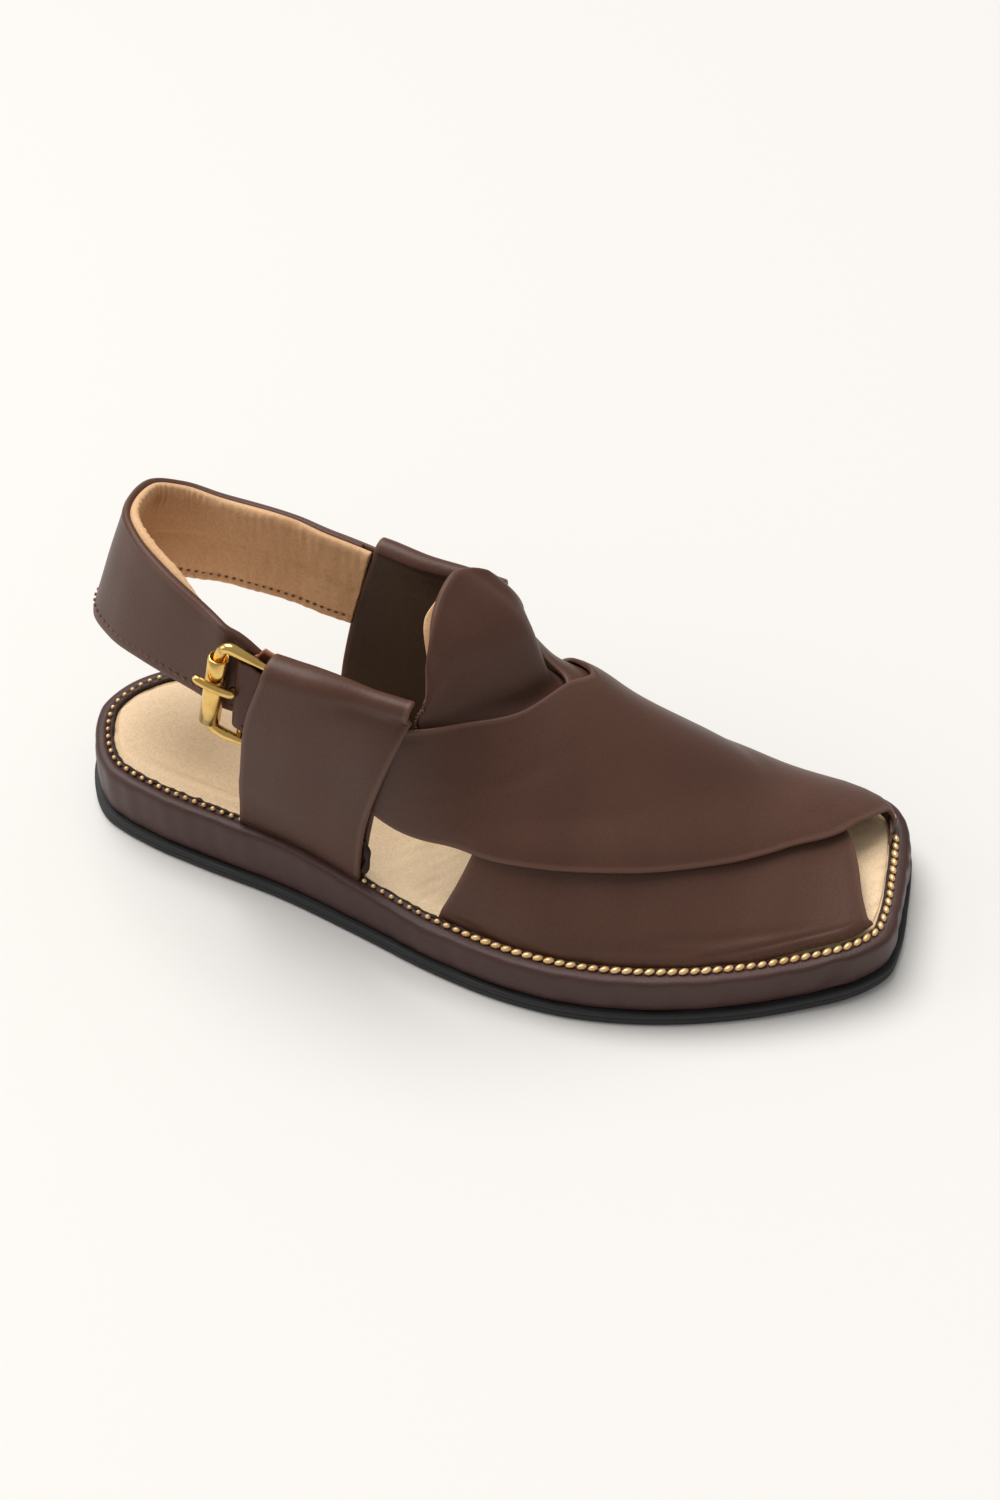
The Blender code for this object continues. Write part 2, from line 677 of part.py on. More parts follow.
def make_tongue(folder):
    """The tongue: it lies under the front straps, then stands up out of the throat."""
    across = np.linspace(-1.0, 1.0, 17)
    knots = column(TONGUE, TONGUE_COLUMNS, "across")

    def value(name):
        return follow(knots, column(TONGUE, TONGUE_COLUMNS, name), across)

    under = STRAP_WALL / 2 + 2 * GAP + TONGUE_WALL / 2
    hidden_at = (value("throat_at") + TONGUE_LAP) * SOLE_LENGTH
    throat = last(value("throat_at") * SOLE_LENGTH, value("throat_round"))
    hidden = last(hidden_at, value("throat_round"))
    ahead = last(hidden_at + 0.002, value("throat_round"))
    beside = last(hidden_at, value("throat_round") + 0.01)
    normal = np.cross(ahead - hidden, beside - hidden)
    normal /= np.linalg.norm(normal, axis=1, keepdims=True)
    throat = throat - normal * under
    hidden = hidden - normal * under
    edge = np.column_stack([
        value("edge_along") * SOLE_LENGTH,
        value("edge_across") * BALL_WIDTH,
        value("edge_up") * INSTEP_HEIGHT,
    ])
    bulge = value("bulge")[:, None] * TONGUE_BULGE * np.array([0.75, 0.0, 0.65])
    middle = (throat + edge) / 2 + bulge
    rails = np.stack([hidden, throat, middle, edge])
    places = np.array([-0.4, 0.0, 0.5, 1.0])
    run = np.linspace(-0.4, 1.0, 10)
    grid = np.stack([
        np.stack([follow(places, rails[:, i, k], run) for k in range(3)], axis=-1)
        for i in range(len(across))
    ])
    return sheet("tongue", grid, folder, TONGUE_WALL)


def strap_face(run, share):
    """The heel strap's outer face: at a share of its length and of its height."""
    run, share = np.broadcast_arrays(np.asarray(run, float), np.asarray(share, float))
    scale = (SOLE_LENGTH, BALL_WIDTH, INSTEP_HEIGHT)
    low, high = (
        np.column_stack([
            column(HEEL_STRAP, HEEL_STRAP_COLUMNS, edge + name) * size
            for name, size in zip(("_along", "_across", "_up"), scale)
        ])
        for edge in ("low", "high")
    )
    middle = (low + high) / 2
    knots = np.concatenate([[0.0], np.cumsum(np.linalg.norm(np.diff(middle, axis=0), axis=1))])
    knots /= knots[-1]
    low, high = (
        np.stack([follow(knots, edge[:, k], run) for k in range(3)], axis=-1)
        for edge in (low, high)
    )
    point = low + (high - low) * share[..., None]
    x, y, z = point[..., 0], point[..., 1], point[..., 2]
    inside = BUCKLE_SLEEVE / 2 - GAP - HEEL_STRAP_WALL
    for side, lead, offset, here in (
        (-1, LATERAL_LEAD, -inside, run < 0.5),
        (1, MEDIAL_LEAD, HEEL_STRAP_WALL / 2, run > 0.5),
    ):
        blend = ease((x / SOLE_LENGTH - lead[0]) / lead[1]) * here
        y = y + (wall_across(x, z, side) + side * offset - y) * blend
    return np.stack([x, y, z], axis=-1)


def strap_inward(run, share):
    """The direction from the heel strap's outer face towards the foot."""
    step = 0.004
    along = strap_face(run + step, share) - strap_face(run - step, share)
    rising = strap_face(run, share + 10 * step) - strap_face(run, share - 10 * step)
    inward = np.cross(along, rising)
    return inward / np.linalg.norm(inward, axis=-1, keepdims=True)


def lining_run(t, share):
    """The lining's place along the strap: its end slants like the medial band's rear edge."""
    return LINING_SPAN[0] + (LINING_SPAN[1] + LINING_END_LEAN * share - LINING_SPAN[0]) * t


def make_heel_strap(folder):
    """The heel strap and the padded lining inside it."""
    run = np.linspace(0.005, 0.995, 37)[:, None]
    share = np.linspace(0.0, 1.0, 4)[None, :]
    grid = strap_face(run, share) + strap_inward(run, share) * HEEL_STRAP_WALL / 2
    strap = sheet("heel_strap", grid, folder, HEEL_STRAP_WALL)
    share = column(LINING_SECTION, LINING_SECTION_COLUMNS, "share")[None, :]
    run = lining_run(np.linspace(0.0, 1.0, 29)[:, None], share)
    depth = column(LINING_SECTION, LINING_SECTION_COLUMNS, "depth")[None, :, None]
    rings = strap_face(run, share) + strap_inward(run, np.clip(share, 0.0, 1.0)) * (
        HEEL_STRAP_WALL + GAP + depth * LINING_THICKNESS
    )
    return strap, tube("strap_lining", rings, folder)


def wire(name, path, radius, sides, folder, closed=False, capped=True):
    """A round wire: a curve through the path's points with a bevel, made a mesh and welded."""
    radius = np.broadcast_to(radius, len(path))
    curve = bpy.data.curves.new(name, "CURVE")
    curve.dimensions = "3D"
    curve.bevel_depth = float(radius.max())
    curve.bevel_resolution = sides // 2 - 2
    curve.use_fill_caps = capped
    spline = curve.splines.new("POLY")
    spline.points.add(len(path) - 1)
    spline.use_cyclic_u = closed
    for point, place, share in zip(spline.points, path, radius / radius.max()):
        point.co = (*map(float, place), 1.0)
        point.radius = float(share)
    guide = bpy.data.objects.new(name + "_curve", curve)
    folder.objects.link(guide)
    mesh = bpy.data.meshes.new_from_object(
        guide.evaluated_get(bpy.context.evaluated_depsgraph_get())
    )
    bpy.data.objects.remove(guide)
    work = bmesh.new()
    work.from_mesh(mesh)
    bmesh.ops.remove_doubles(work, verts=work.verts, dist=0.00001)
    if capped:
        bmesh.ops.recalc_face_normals(work, faces=work.faces)
    work.to_mesh(mesh)
    work.free()
    mesh.shade_smooth()
    obj = bpy.data.objects.new(name, mesh)
    folder.objects.link(obj)
    return obj


def combine(obj, other, operation, name):
    """A Boolean of one object by another."""
    cut = obj.modifiers.new(name, "BOOLEAN")
    cut.operation = operation
    cut.object = other


def bar_offset():
    """How far outside the sleeve's middle the buckle's bars and the folded leather lie."""
    return BUCKLE_SLEEVE / 2 - GAP - CHAPE_WALL - BAR_ROOM - BAR_DIAMETER / 2


def bar_ends():
    """The buckle's middle bar: its lower and upper ends, centred in the folded leather."""
    x, z = np.array(BAR_ENDS).T
    return np.column_stack([x, wall_across(x, z, -1) - bar_offset(), z])


def strap_across(x, up):
    """How far across the heel strap's outer face is on its lateral side, at x and a height."""
    run = np.linspace(0.0, 0.3, 301)
    low, high = strap_face(run, 0.0), strap_face(run, 1.0)
    face = strap_face(run, (up - low[:, 2]) / (high[:, 2] - low[:, 2]))
    return np.interp(-x, -face[:, 0], face[:, 1])


def frame_corners():
    """The frame's corners: off the heel strap by the roller's radius and room, or in the fold."""
    corners = []
    for i, (x, up, room) in enumerate(FRAME_CORNERS):
        if i in THIN_CORNERS:
            across = wall_across(x, up, -1) - bar_offset()
        else:
            across = strap_across(x, up) - ROLLER_DIAMETER / 2
        corners.append((x, float(across) - room, up))
    return np.array(corners)


def rounded(corners, radius, steps):
    """A closed path round corners: at each a parabola between two points near it."""
    t = np.linspace(0.0, 1.0, steps)[:, None]
    path = []
    for i, corner in enumerate(corners):
        before, after = corners[i - 1] - corner, corners[(i + 1) % len(corners)] - corner
        start = corner + before / np.linalg.norm(before) * radius
        end = corner + after / np.linalg.norm(after) * radius
        path.append(start * (1 - t) ** 2 + corner * 2 * t * (1 - t) + end * t * t)
    return np.concatenate(path)


def make_frame(corners, folder, cutters):
    """The brass wire frame with its middle bar."""
    steps = 5
    thick = np.full(len(corners), WIRE_DIAMETER / 2)
    thick[list(THIN_CORNERS)] = BAR_DIAMETER / 2
    path = rounded(corners, FRAME_ROUND, steps)
    frame = wire("buckle_frame", path, np.repeat(thick, steps), 10, folder, closed=True)
    bar = wire("middle_bar", bar_ends(), BAR_DIAMETER / 2, 10, cutters)
    combine(frame, bar, "UNION", "bar")
    return frame


def make_roller(corners, folder):
    """The brass tube that turns on the frame's rear bar."""
    axis = corners[1] - corners[0]
    middle, axis = (corners[0] + corners[1]) / 2, axis / np.linalg.norm(axis)
    ends = [middle - axis * ROLLER_LENGTH / 2, middle + axis * ROLLER_LENGTH / 2]
    roller = wire("buckle_roller", ends, ROLLER_DIAMETER / 2, 16, folder, capped=False)
    solidify = roller.modifiers.new("wall", "SOLIDIFY")
    solidify.thickness = ROLLER_WALL
    solidify.offset = -1.0
    return roller


def make_prong(corners, folder):
    """The prong: out from the middle bar over a knee, and back to lie on the roller."""
    low, high = bar_ends()
    root = low + (high - low) * PRONG_AT
    reach = (BAR_DIAMETER + PRONG_DIAMETER) / 2 + GAP
    along, up = PRONG_TIP
    across = np.interp(up, corners[:2, 2], corners[:2, 1])
    tip = np.array((along, across - (ROLLER_DIAMETER + PRONG_DIAMETER) / 2 - GAP, up))
    knee = root + (-reach, *PRONG_KNEE)
    path = [
        root + (-reach, 0.0, 0.0), knee, (knee + tip) / 2 + (0.0, -PRONG_BEND, 0.0), tip,
        tip + (tip - knee) * PRONG_OVERHANG + (0.0, PRONG_DROP, 0.0),
    ]
    return wire(
        "buckle_prong", path, PRONG_DIAMETER / 2 * np.array(PRONG_THICKNESS), 10, folder
    )


def make_chape(folder, cutters):
    """The leather folded round the middle bar, with a notch where the prong comes out."""
    low, high = bar_ends()
    knots = column(CHAPE, CHAPE_COLUMNS, "depth")
    turn = 7
    depth = np.concatenate([knots[::-1], np.zeros(turn), knots])
    around = np.arange(1, turn + 1) / (turn + 1)
    flank = np.concatenate([np.zeros(len(knots)), around, np.ones(len(knots))])
    top = follow(knots, column(CHAPE, CHAPE_COLUMNS, "top"), depth)
    outside = follow(knots, column(CHAPE, CHAPE_COLUMNS, "low_outside"), depth)
    inside = follow(knots, column(CHAPE, CHAPE_COLUMNS, "low_inside"), depth)
    bottom = outside + (inside - outside) * flank
    up = bottom[:, None] + (top - bottom)[:, None] * np.linspace(0.0, 1.0, 6)[None, :]
    part_up = (up - low[2]) / (high[2] - low[2])
    line = low + (high - low) * part_up[..., None]
    reach = BAR_DIAMETER / 2 + BAR_ROOM + CHAPE_WALL / 2
    angle = (np.pi * flank)[:, None]
    x = line[..., 0] + depth[:, None] - reach * np.sin(angle)
    y = wall_across(x, up, -1) - bar_offset() - reach * np.cos(angle)
    chape = sheet("chape", np.stack([x, y, up], axis=-1), folder, CHAPE_WALL)
    bpy.ops.mesh.primitive_cube_add(size=1.0)
    notch = bpy.context.active_object
    notch.name = "notch"
    notch.scale = (2 * NOTCH_REACH, 2 * NOTCH_REACH, NOTCH_WIDTH)
    notch.location = low + (high - low) * PRONG_AT + (-reach, -NOTCH_REACH / 2, 0.0)
    for held in notch.users_collection:
        held.objects.unlink(notch)
    cutters.objects.link(notch)
    combine(chape, notch, "DIFFERENCE", "notch")
    return chape


def make_cord(folder):
    """The golden edging on the rim: all round but for the lateral band's foot."""
    x = RING[:, 0]
    lateral = np.arange(2 * HALF_RING) < HALF_RING
    rear, front = (SOLE_LENGTH * at for at in LATERAL_BAND[0][1:])
    covered = lateral & (x > rear - CORD_STOP) & (x < front + CORD_STOP)
    first = np.flatnonzero(covered)[-1] + 1
    order = np.roll(np.arange(2 * HALF_RING), -first)
    centre = ring(RIM_WIDTH)[order[~covered[order]]]
    height = platform(centre[:, 0]) + CORD_DIAMETER / 2 + GAP / 2
    path = np.column_stack([centre, height])
    return wire("edge_cord", path, CORD_DIAMETER / 2, 6, folder)


def main():
    for old in list(bpy.data.objects):
        bpy.data.objects.remove(old)
    folder = bpy.data.collections.new("peshawari_chappal")
    cutters = bpy.data.collections.new("cutters")
    bpy.context.scene.collection.children.link(folder)
    bpy.context.scene.collection.children.link(cutters)
    outsole, midsole, insole = make_sole(folder)
    upper = make_upper(folder, cutters)
    tongue = make_tongue(folder)
    lateral = make_band(
        "loop_lateral", LATERAL_BAND, LATERAL_BAND_TOP, -1, BUCKLE_SLEEVE, LATERAL_FOOT_SHIFT,
        folder,
    )
    medial = make_band(
        "loop_medial", MEDIAL_BAND, MEDIAL_BAND_TOP, 1, SLEEVE, MEDIAL_FOOT_SHIFT, folder
    )
    heel_strap, lining = make_heel_strap(folder)
    corners = frame_corners()
    frame = make_frame(corners, folder, cutters)
    roller = make_roller(corners, folder)
    prong = make_prong(corners, folder)
    chape = make_chape(folder, cutters)
    cord = make_cord(folder)
    for cutter in cutters.objects:
        cutter.hide_render = True
        cutter.display_type = "WIRE"
    rubber = material("rubber", (0.015, 0.015, 0.015), 0.7)
    brown = material("brown_leather", (0.055, 0.024, 0.016), 0.55)
    cream = material("cream_leather", (0.60, 0.42, 0.25), 0.6)
    brass = material("brass", (0.70, 0.49, 0.22), 0.35, 1.0)
    for obj, finish in (
        (outsole, rubber), (midsole, brown), (insole, cream), (upper, brown),
        (lateral, brown), (medial, brown), (tongue, brown), (heel_strap, brown),
        (lining, cream), (chape, brown), (frame, brass), (roller, brass), (prong, brass),
        (cord, brass),
    ):
        obj.data.materials.append(finish)


main()
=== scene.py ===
"""The looks of a right peshawari chappal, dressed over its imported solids.

Metres, +X to the toe, +Y to the medial side, +Z up. The straps, tongue and bands follow the same
last as the solids: every surface is worked out from it on a fine grid, given a wall, creases and
an edge, and put in as one mesh.
"""

import bmesh
import bpy
import numpy as np
from mathutils import Matrix, Vector


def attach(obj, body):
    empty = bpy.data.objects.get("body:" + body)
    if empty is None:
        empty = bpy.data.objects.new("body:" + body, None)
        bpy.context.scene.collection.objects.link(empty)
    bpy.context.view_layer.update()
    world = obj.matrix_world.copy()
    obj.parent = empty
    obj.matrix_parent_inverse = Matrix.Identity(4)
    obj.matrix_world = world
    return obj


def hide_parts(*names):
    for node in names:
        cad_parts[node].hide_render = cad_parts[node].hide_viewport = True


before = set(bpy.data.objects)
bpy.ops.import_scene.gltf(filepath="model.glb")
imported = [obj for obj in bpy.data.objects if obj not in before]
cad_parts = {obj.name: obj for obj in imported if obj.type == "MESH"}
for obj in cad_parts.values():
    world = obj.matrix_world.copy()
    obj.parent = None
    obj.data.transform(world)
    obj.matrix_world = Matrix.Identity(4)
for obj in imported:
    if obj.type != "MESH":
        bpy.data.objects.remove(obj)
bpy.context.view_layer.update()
RANDOM = np.random.default_rng(7)


def columns(names, *rows):
    """A table's rows as arrays under the names of their columns."""
    return dict(zip(names.split(), np.array(rows, float).T))


# Driving sizes
SOLE_LENGTH = 0.288
BALL_WIDTH = 0.112
INSTEP_HEIGHT = 0.070
HEEL_HEIGHT = 0.0242
FOREFOOT_HEIGHT = 0.0182
TOE_SPRING = 0.0015
OUTSOLE_THICKNESS = 0.0048
OUTSOLE_PROUD = 0.0020
INSOLE_THICKNESS = 0.0035
INSOLE_CROWN = 0.0012
RIM_WIDTH = 0.0068
CORD_DIAMETER = 0.0022
STRAP_WALL = 0.0022
BAND_WALL = 0.0020
TONGUE_WALL = 0.0026
HEEL_STRAP_WALL = 0.0022
LINING_THICKNESS = 0.0034
WIRE_DIAMETER = 0.0038
BAR_DIAMETER = 0.0022
BAR_ROOM = 0.0006
ROLLER_DIAMETER = 0.0070
ROLLER_WALL = 0.0010
ROLLER_LENGTH = 0.0290
PRONG_DIAMETER = 0.0026
CHAPE_WALL = 0.0012
TIP_LIFT = 0.0022
GAP = 0.0003

# What follows from them
LAST_INSET = RIM_WIDTH + CORD_DIAMETER / 2 + STRAP_WALL / 2 + 2 * GAP
RECESS_INSET = RIM_WIDTH + CORD_DIAMETER / 2
HALF_RING = 40

# The sole's outline from the heel's middle round the lateral side to the toe and back:
# along is a share of SOLE_LENGTH from the middle, across a share of BALL_WIDTH.
OUTLINE = columns(
    "along across",
    (-0.500, 0.036),
    (-0.488, -0.090),
    (-0.452, -0.226),
    (-0.390, -0.292),
    (-0.315, -0.330),
    (-0.200, -0.373),
    (-0.090, -0.440),
    (0.000, -0.500),
    (0.090, -0.536),
    (0.160, -0.535),
    (0.240, -0.496),
    (0.330, -0.410),
    (0.410, -0.298),
    (0.470, -0.186),
    (0.494, -0.105),
    (0.499, 0.000),
    (0.4945, 0.140),
    (0.488, 0.260),
    (0.480, 0.360),
    (0.460, 0.445),
    (0.418, 0.490),
    (0.340, 0.492),
    (0.240, 0.470),
    (0.140, 0.435),
    (0.030, 0.382),
    (-0.090, 0.350),
    (-0.200, 0.342),
    (-0.310, 0.345),
    (-0.390, 0.332),
    (-0.450, 0.262),
    (-0.485, 0.160),
)
TOE_ROW = 16

# The last's sections. at: a share of SOLE_LENGTH from the middle. ridge_side: a share of
# BALL_WIDTH. ridge_up: a share of INSTEP_HEIGHT above the platform. The rise, lean and flat
# columns shape each side's curve, as shares of its height and half width.
LAST = columns(
    "at ridge_side ridge_up lateral_rise lateral_lean lateral_flat medial_rise medial_lean medial_flat",
    (-0.260, 0.03, 1.55, 0.45, 0.00, 1.10, 0.45, -0.24, 1.60),
    (-0.156, 0.04, 1.45, 0.45, 0.03, 1.05, 0.45, -0.15, 1.40),
    (-0.070, 0.10, 1.28, 0.42, 0.10, 1.00, 0.45, 0.00, 1.25),
    (0.000, 0.13, 1.06, 0.32, 0.06, 0.62, 0.55, 0.00, 1.20),
    (0.052, 0.09, 0.88, 0.28, 0.03, 0.48, 0.75, 0.00, 0.75),
    (0.100, 0.10, 0.79, 0.26, 0.00, 0.42, 0.75, 0.00, 0.68),
    (0.140, 0.11, 0.69, 0.25, 0.00, 0.40, 0.66, 0.00, 0.58),
    (0.208, 0.12, 0.53, 0.25, 0.00, 0.40, 0.65, 0.00, 0.55),
    (0.278, 0.14, 0.38, 0.25, 0.00, 0.42, 0.60, 0.00, 0.55),
    (0.347, 0.18, 0.23, 0.30, 0.00, 0.45, 0.55, 0.00, 0.50),
    (0.400, 0.21, 0.12, 0.35, 0.00, 0.50, 0.50, 0.00, 0.50),
    (0.470, 0.25, 0.04, 0.40, 0.00, 0.50, 0.50, 0.00, 0.50),
)

# The edges of the two front straps on the last. run: from the strap's end in the sole to its
# end in the side band. at: a share of SOLE_LENGTH. round: from the last's lateral base, 0, over
# its ridge, 0.5, to its medial base, 1.
UNDER_STRAP_REAR = columns(
    "run at round",
    (0.00, 0.002, 0.000),
    (0.18, 0.029, 0.130),
    (0.36, 0.056, 0.290),
    (0.52, 0.085, 0.430),
    (0.64, 0.080, 0.540),
    (0.76, 0.040, 0.600),
    (0.88, -0.020, 0.672),
    (1.00, -0.110, 0.757),
)
UNDER_STRAP_FRONT = columns(
    "run at round",
    (0.00, 0.464, 0.000),
    (0.18, 0.447, 0.240),
    (0.36, 0.410, 0.480),
    (0.52, 0.330, 0.640),
    (0.64, 0.240, 0.740),
    (0.76, 0.140, 0.820),
    (0.88, 0.030, 0.860),
    (1.00, -0.110, 0.870),
)
OVER_STRAP_REAR = columns(
    "run at round",
    (0.00, 0.010, 1.000),
    (0.18, 0.030, 0.860),
    (0.36, 0.070, 0.700),
    (0.50, 0.100, 0.580),
    (0.62, 0.075, 0.470),
    (0.75, 0.030, 0.370),
    (0.88, -0.030, 0.299),
    (1.00, -0.130, 0.215),
)
OVER_STRAP_FRONT = columns(
    "run at round",
    (0.00, 0.455, 0.980),
    (0.14, 0.425, 0.560),
    (0.30, 0.350, 0.380),
    (0.46, 0.245, 0.270),
    (0.60, 0.140, 0.210),
    (0.75, 0.020, 0.161),
    (0.88, -0.060, 0.116),
    (1.00, -0.130, 0.122),
)

# How far the upper front strap's middle stands off the last at its rear edge, and how much more
# at its front edge, as shares of STRAP_WALL. It comes down to the last from a place along its
# run, over a share of it, and near its end in the sole.
OVER_LIFT = 1.02
OVER_STAND = 0.55
STAND_FROM = 0.72
STAND_RUN = 0.20
LIFT_DOWN_FROM = 0.66
LIFT_DOWN_OVER = 0.20
LIFT_AT_END = 0.35
LIFT_END_RUN = 0.08

# The tongue, across from its lateral side, -1, to its medial, 1: where it leaves the throat on
# the last, and where its edge stands: along, across and up as shares of SOLE_LENGTH, BALL_WIDTH
# and INSTEP_HEIGHT. bulge is a share of TONGUE_BULGE.
TONGUE = columns(
    "across throat_at throat_round edge_along edge_across edge_up bulge",
    (-1.00, -0.036, 0.290, -0.036, -0.160, 1.150, 0.2),
    (-0.80, -0.040, 0.296, -0.043, -0.142, 1.321, 0.3),
    (-0.55, -0.018, 0.335, -0.047, -0.098, 1.521, 0.7),
    (-0.25, 0.036, 0.415, -0.049, -0.009, 1.614, 0.9),
    (0.00, 0.066, 0.490, -0.045, 0.071, 1.643, 1.0),
    (0.30, 0.062, 0.545, -0.036, 0.134, 1.607, 1.0),
    (0.60, 0.026, 0.590, -0.020, 0.172, 1.560, 0.9),
    (0.85, 0.018, 0.605, -0.004, 0.190, 1.460, 0.7),
    (1.00, 0.012, 0.612, 0.000, 0.196, 1.370, 0.5),
)
TONGUE_BULGE = 0.0060
TONGUE_LAP = 0.030

# The side bands: their rear and front edges along the sole, as shares of SOLE_LENGTH, at each
# share of the band's height.
LATERAL_BAND = columns(
    "height rear front",
    (0.00, -0.257, -0.101),
    (0.35, -0.254, -0.098),
    (0.70, -0.242, -0.078),
    (1.00, -0.212, -0.049),
)
MEDIAL_BAND = columns(
    "height rear front",
    (0.00, -0.216, -0.075),
    (0.35, -0.205, -0.055),
    (0.70, -0.186, -0.030),
    (1.00, -0.160, -0.010),
)
# Their tops' heights from the floor, rear and front, and the room inside each sleeve.
LATERAL_BAND_TOP = (0.0990, 0.0950)
MEDIAL_BAND_TOP = (0.1030, 0.1010)
SLEEVE = STRAP_WALL + 5 * GAP
BUCKLE_SLEEVE = HEEL_STRAP_WALL + 2 * CHAPE_WALL + BAR_DIAMETER + 2 * BAR_ROOM + 3 * GAP
# A band follows the last, and above the first height goes straight on. From the second height
# its front half turns to a straight upper edge: the edge's ends as shares of BALL_WIDTH, and the
# shares of the band's length between which the turn comes in.
BAND_STRAIGHT_FROM = 0.088
BAND_TOP_FROM = 0.084
BAND_TURNS_AT = (0.30, 0.70)
LATERAL_TOP_ACROSS = (-0.249, -0.2715)
MEDIAL_TOP_ACROSS = (0.271, 0.235)
# Its foot moves out from the last by a shift.
LATERAL_FOOT_SHIFT = 0.0015
MEDIAL_FOOT_SHIFT = -0.0009

# The heel strap's lower and upper edges outside, from its end in the lateral band round the
# heel to its end in the medial one: along as shares of SOLE_LENGTH, across of BALL_WIDTH, up of
# INSTEP_HEIGHT from the floor. Inside the bands the strap follows their walls instead.
HEEL_STRAP = columns(
    "low_along low_across low_up high_along high_across high_up",
    (-0.208, -0.260, 1.014, -0.191, -0.255, 1.286),
    (-0.236, -0.255, 1.007, -0.219, -0.252, 1.329),
    (-0.267, -0.246, 0.993, -0.250, -0.245, 1.414),
    (-0.323, -0.212, 1.021, -0.302, -0.183, 1.486),
    (-0.389, -0.152, 1.029, -0.358, -0.120, 1.557),
    (-0.446, -0.073, 1.007, -0.410, -0.027, 1.593),
    (-0.485, 0.025, 0.986, -0.439, 0.071, 1.593),
    (-0.494, 0.107, 0.971, -0.446, 0.152, 1.579),
    (-0.481, 0.218, 0.971, -0.438, 0.246, 1.564),
    (-0.434, 0.290, 0.971, -0.406, 0.312, 1.505),
    (-0.365, 0.317, 0.971, -0.358, 0.326, 1.462),
    (-0.278, 0.318, 0.950, -0.274, 0.325, 1.436),
    (-0.212, 0.305, 0.929, -0.205, 0.303, 1.410),
    (-0.155, 0.298, 0.914, -0.145, 0.290, 1.388),
)
LATERAL_LEAD = (-0.285, 0.028)
MEDIAL_LEAD = (-0.265, 0.045)
LINING_SPAN = (0.110, 0.937)
LINING_END_LEAN = 0.032

# The padded lining's section: share of the strap's height, and depth as a share of its own
# thickness, in from the strap.
LINING_SECTION = columns(
    "share depth",
    (0.07, 0.00),
    (0.00, 0.30),
    (0.01, 0.78),
    (0.09, 1.00),
    (0.40, 0.96),
    (0.50, 0.88),
    (0.60, 0.96),
    (0.88, 1.00),
    (0.98, 1.06),
    (1.04, 0.75),
    (1.03, 0.20),
    (0.94, 0.00),
    (0.50, 0.00),
)

# The buckle's frame: its six corners, along and up in metres, from the bottom of the roller's
# bar round over the top. room is what is left between the roller and the heel strap there. The
# two front corners have thin wire and lie in the folded leather, in line with the middle bar.
FRAME_CORNERS = (
    (-0.0834, 0.0650, 0.0006),
    (-0.0772, 0.0970, 0.0012),
    (-0.0746, 0.1004, 0.0016),
    (-0.0588, 0.0938, 0.0000),
    (-0.0630, 0.0600, 0.0000),
    (-0.0790, 0.0622, 0.0000),
)
THIN_CORNERS = (3, 4)
FRAME_ROUND = 0.0024
# The middle bar's lower and upper ends, along and up.
BAR_ENDS = ((-0.0730, 0.0614), (-0.0684, 0.0977))
# The prong: its tip, along and up, the share of the bar's height where it starts, how far its
# knee stands out and up from there, its bend outwards, its tip's drop and its overhang.
PRONG_TIP = (-0.0832, 0.0882)
PRONG_AT = 0.61
PRONG_KNEE = (-0.0044, 0.0004)
PRONG_BEND = 0.0006
PRONG_DROP = 0.0009
PRONG_OVERHANG = 0.08
# The folded leather around the middle bar: from its fold to its end inside the band, the height
# of its upper edge and of its lower edge, outside and inside.
CHAPE = columns(
    "depth top low_outside low_inside",
    (0.0000, 0.0955, 0.0690, 0.0690),
    (0.0025, 0.0950, 0.0672, 0.0680),
    (0.0055, 0.0935, 0.0605, 0.0660),
    (0.0100, 0.0922, 0.0590, 0.0650),
    (0.0150, 0.0912, 0.0595, 0.0650),
)


def unit(v):
    """Vectors at length one."""
    return v / np.maximum(np.linalg.norm(v, axis=-1, keepdims=True), 1e-12)


def run_along(points):
    """How far along a polyline each of its points is."""
    return np.concatenate([[0.0], np.cumsum(np.linalg.norm(np.diff(points, axis=0), axis=1))])


def points_at(at, run, points):
    """Points read off a polyline at places along its run."""
    return np.stack([np.interp(at, run, points[:, k]) for k in range(points.shape[1])], axis=-1)


def follow(knots, values, at):
    """A smooth curve through a table's rows: cubic pieces that share their slopes."""
    at = np.clip(at, knots[0], knots[-1])
    slopes = np.gradient(values, knots)
    i = np.clip(np.searchsorted(knots, at) - 1, 0, len(knots) - 2)
    width = knots[i + 1] - knots[i]
    t = (at - knots[i]) / width
    return (
        values[i] * (1 + 2 * t) * (1 - t) ** 2
        + values[i + 1] * t * t * (3 - 2 * t)
        + slopes[i] * width * t * (1 - t) ** 2
        - slopes[i + 1] * width * t * t * (1 - t)
    )


def follow_points(knots, points, at):
    """follow() through rows of points."""
    return np.stack([follow(knots, points[:, k], at) for k in range(points.shape[1])], axis=-1)


def ease(t):
    """From 0 to 1 with no slope at either end."""
    t = np.clip(t, 0.0, 1.0)
    return t * t * (3 - 2 * t)


def floor_line(x):
    """Height of the sole's underside: flat, and lifted at the toe."""
    start = 0.28 * SOLE_LENGTH
    return TOE_SPRING * np.clip((x - start) / (SOLE_LENGTH / 2 - start), 0.0, 1.0) ** 2


def platform(x):
    """Height of the platform's rim: high at the heel, down to the forefoot."""
    slope = ease((x / SOLE_LENGTH + 0.235) / 0.23)
    return floor_line(x) + HEEL_HEIGHT + (FOREFOOT_HEIGHT - HEEL_HEIGHT) * slope


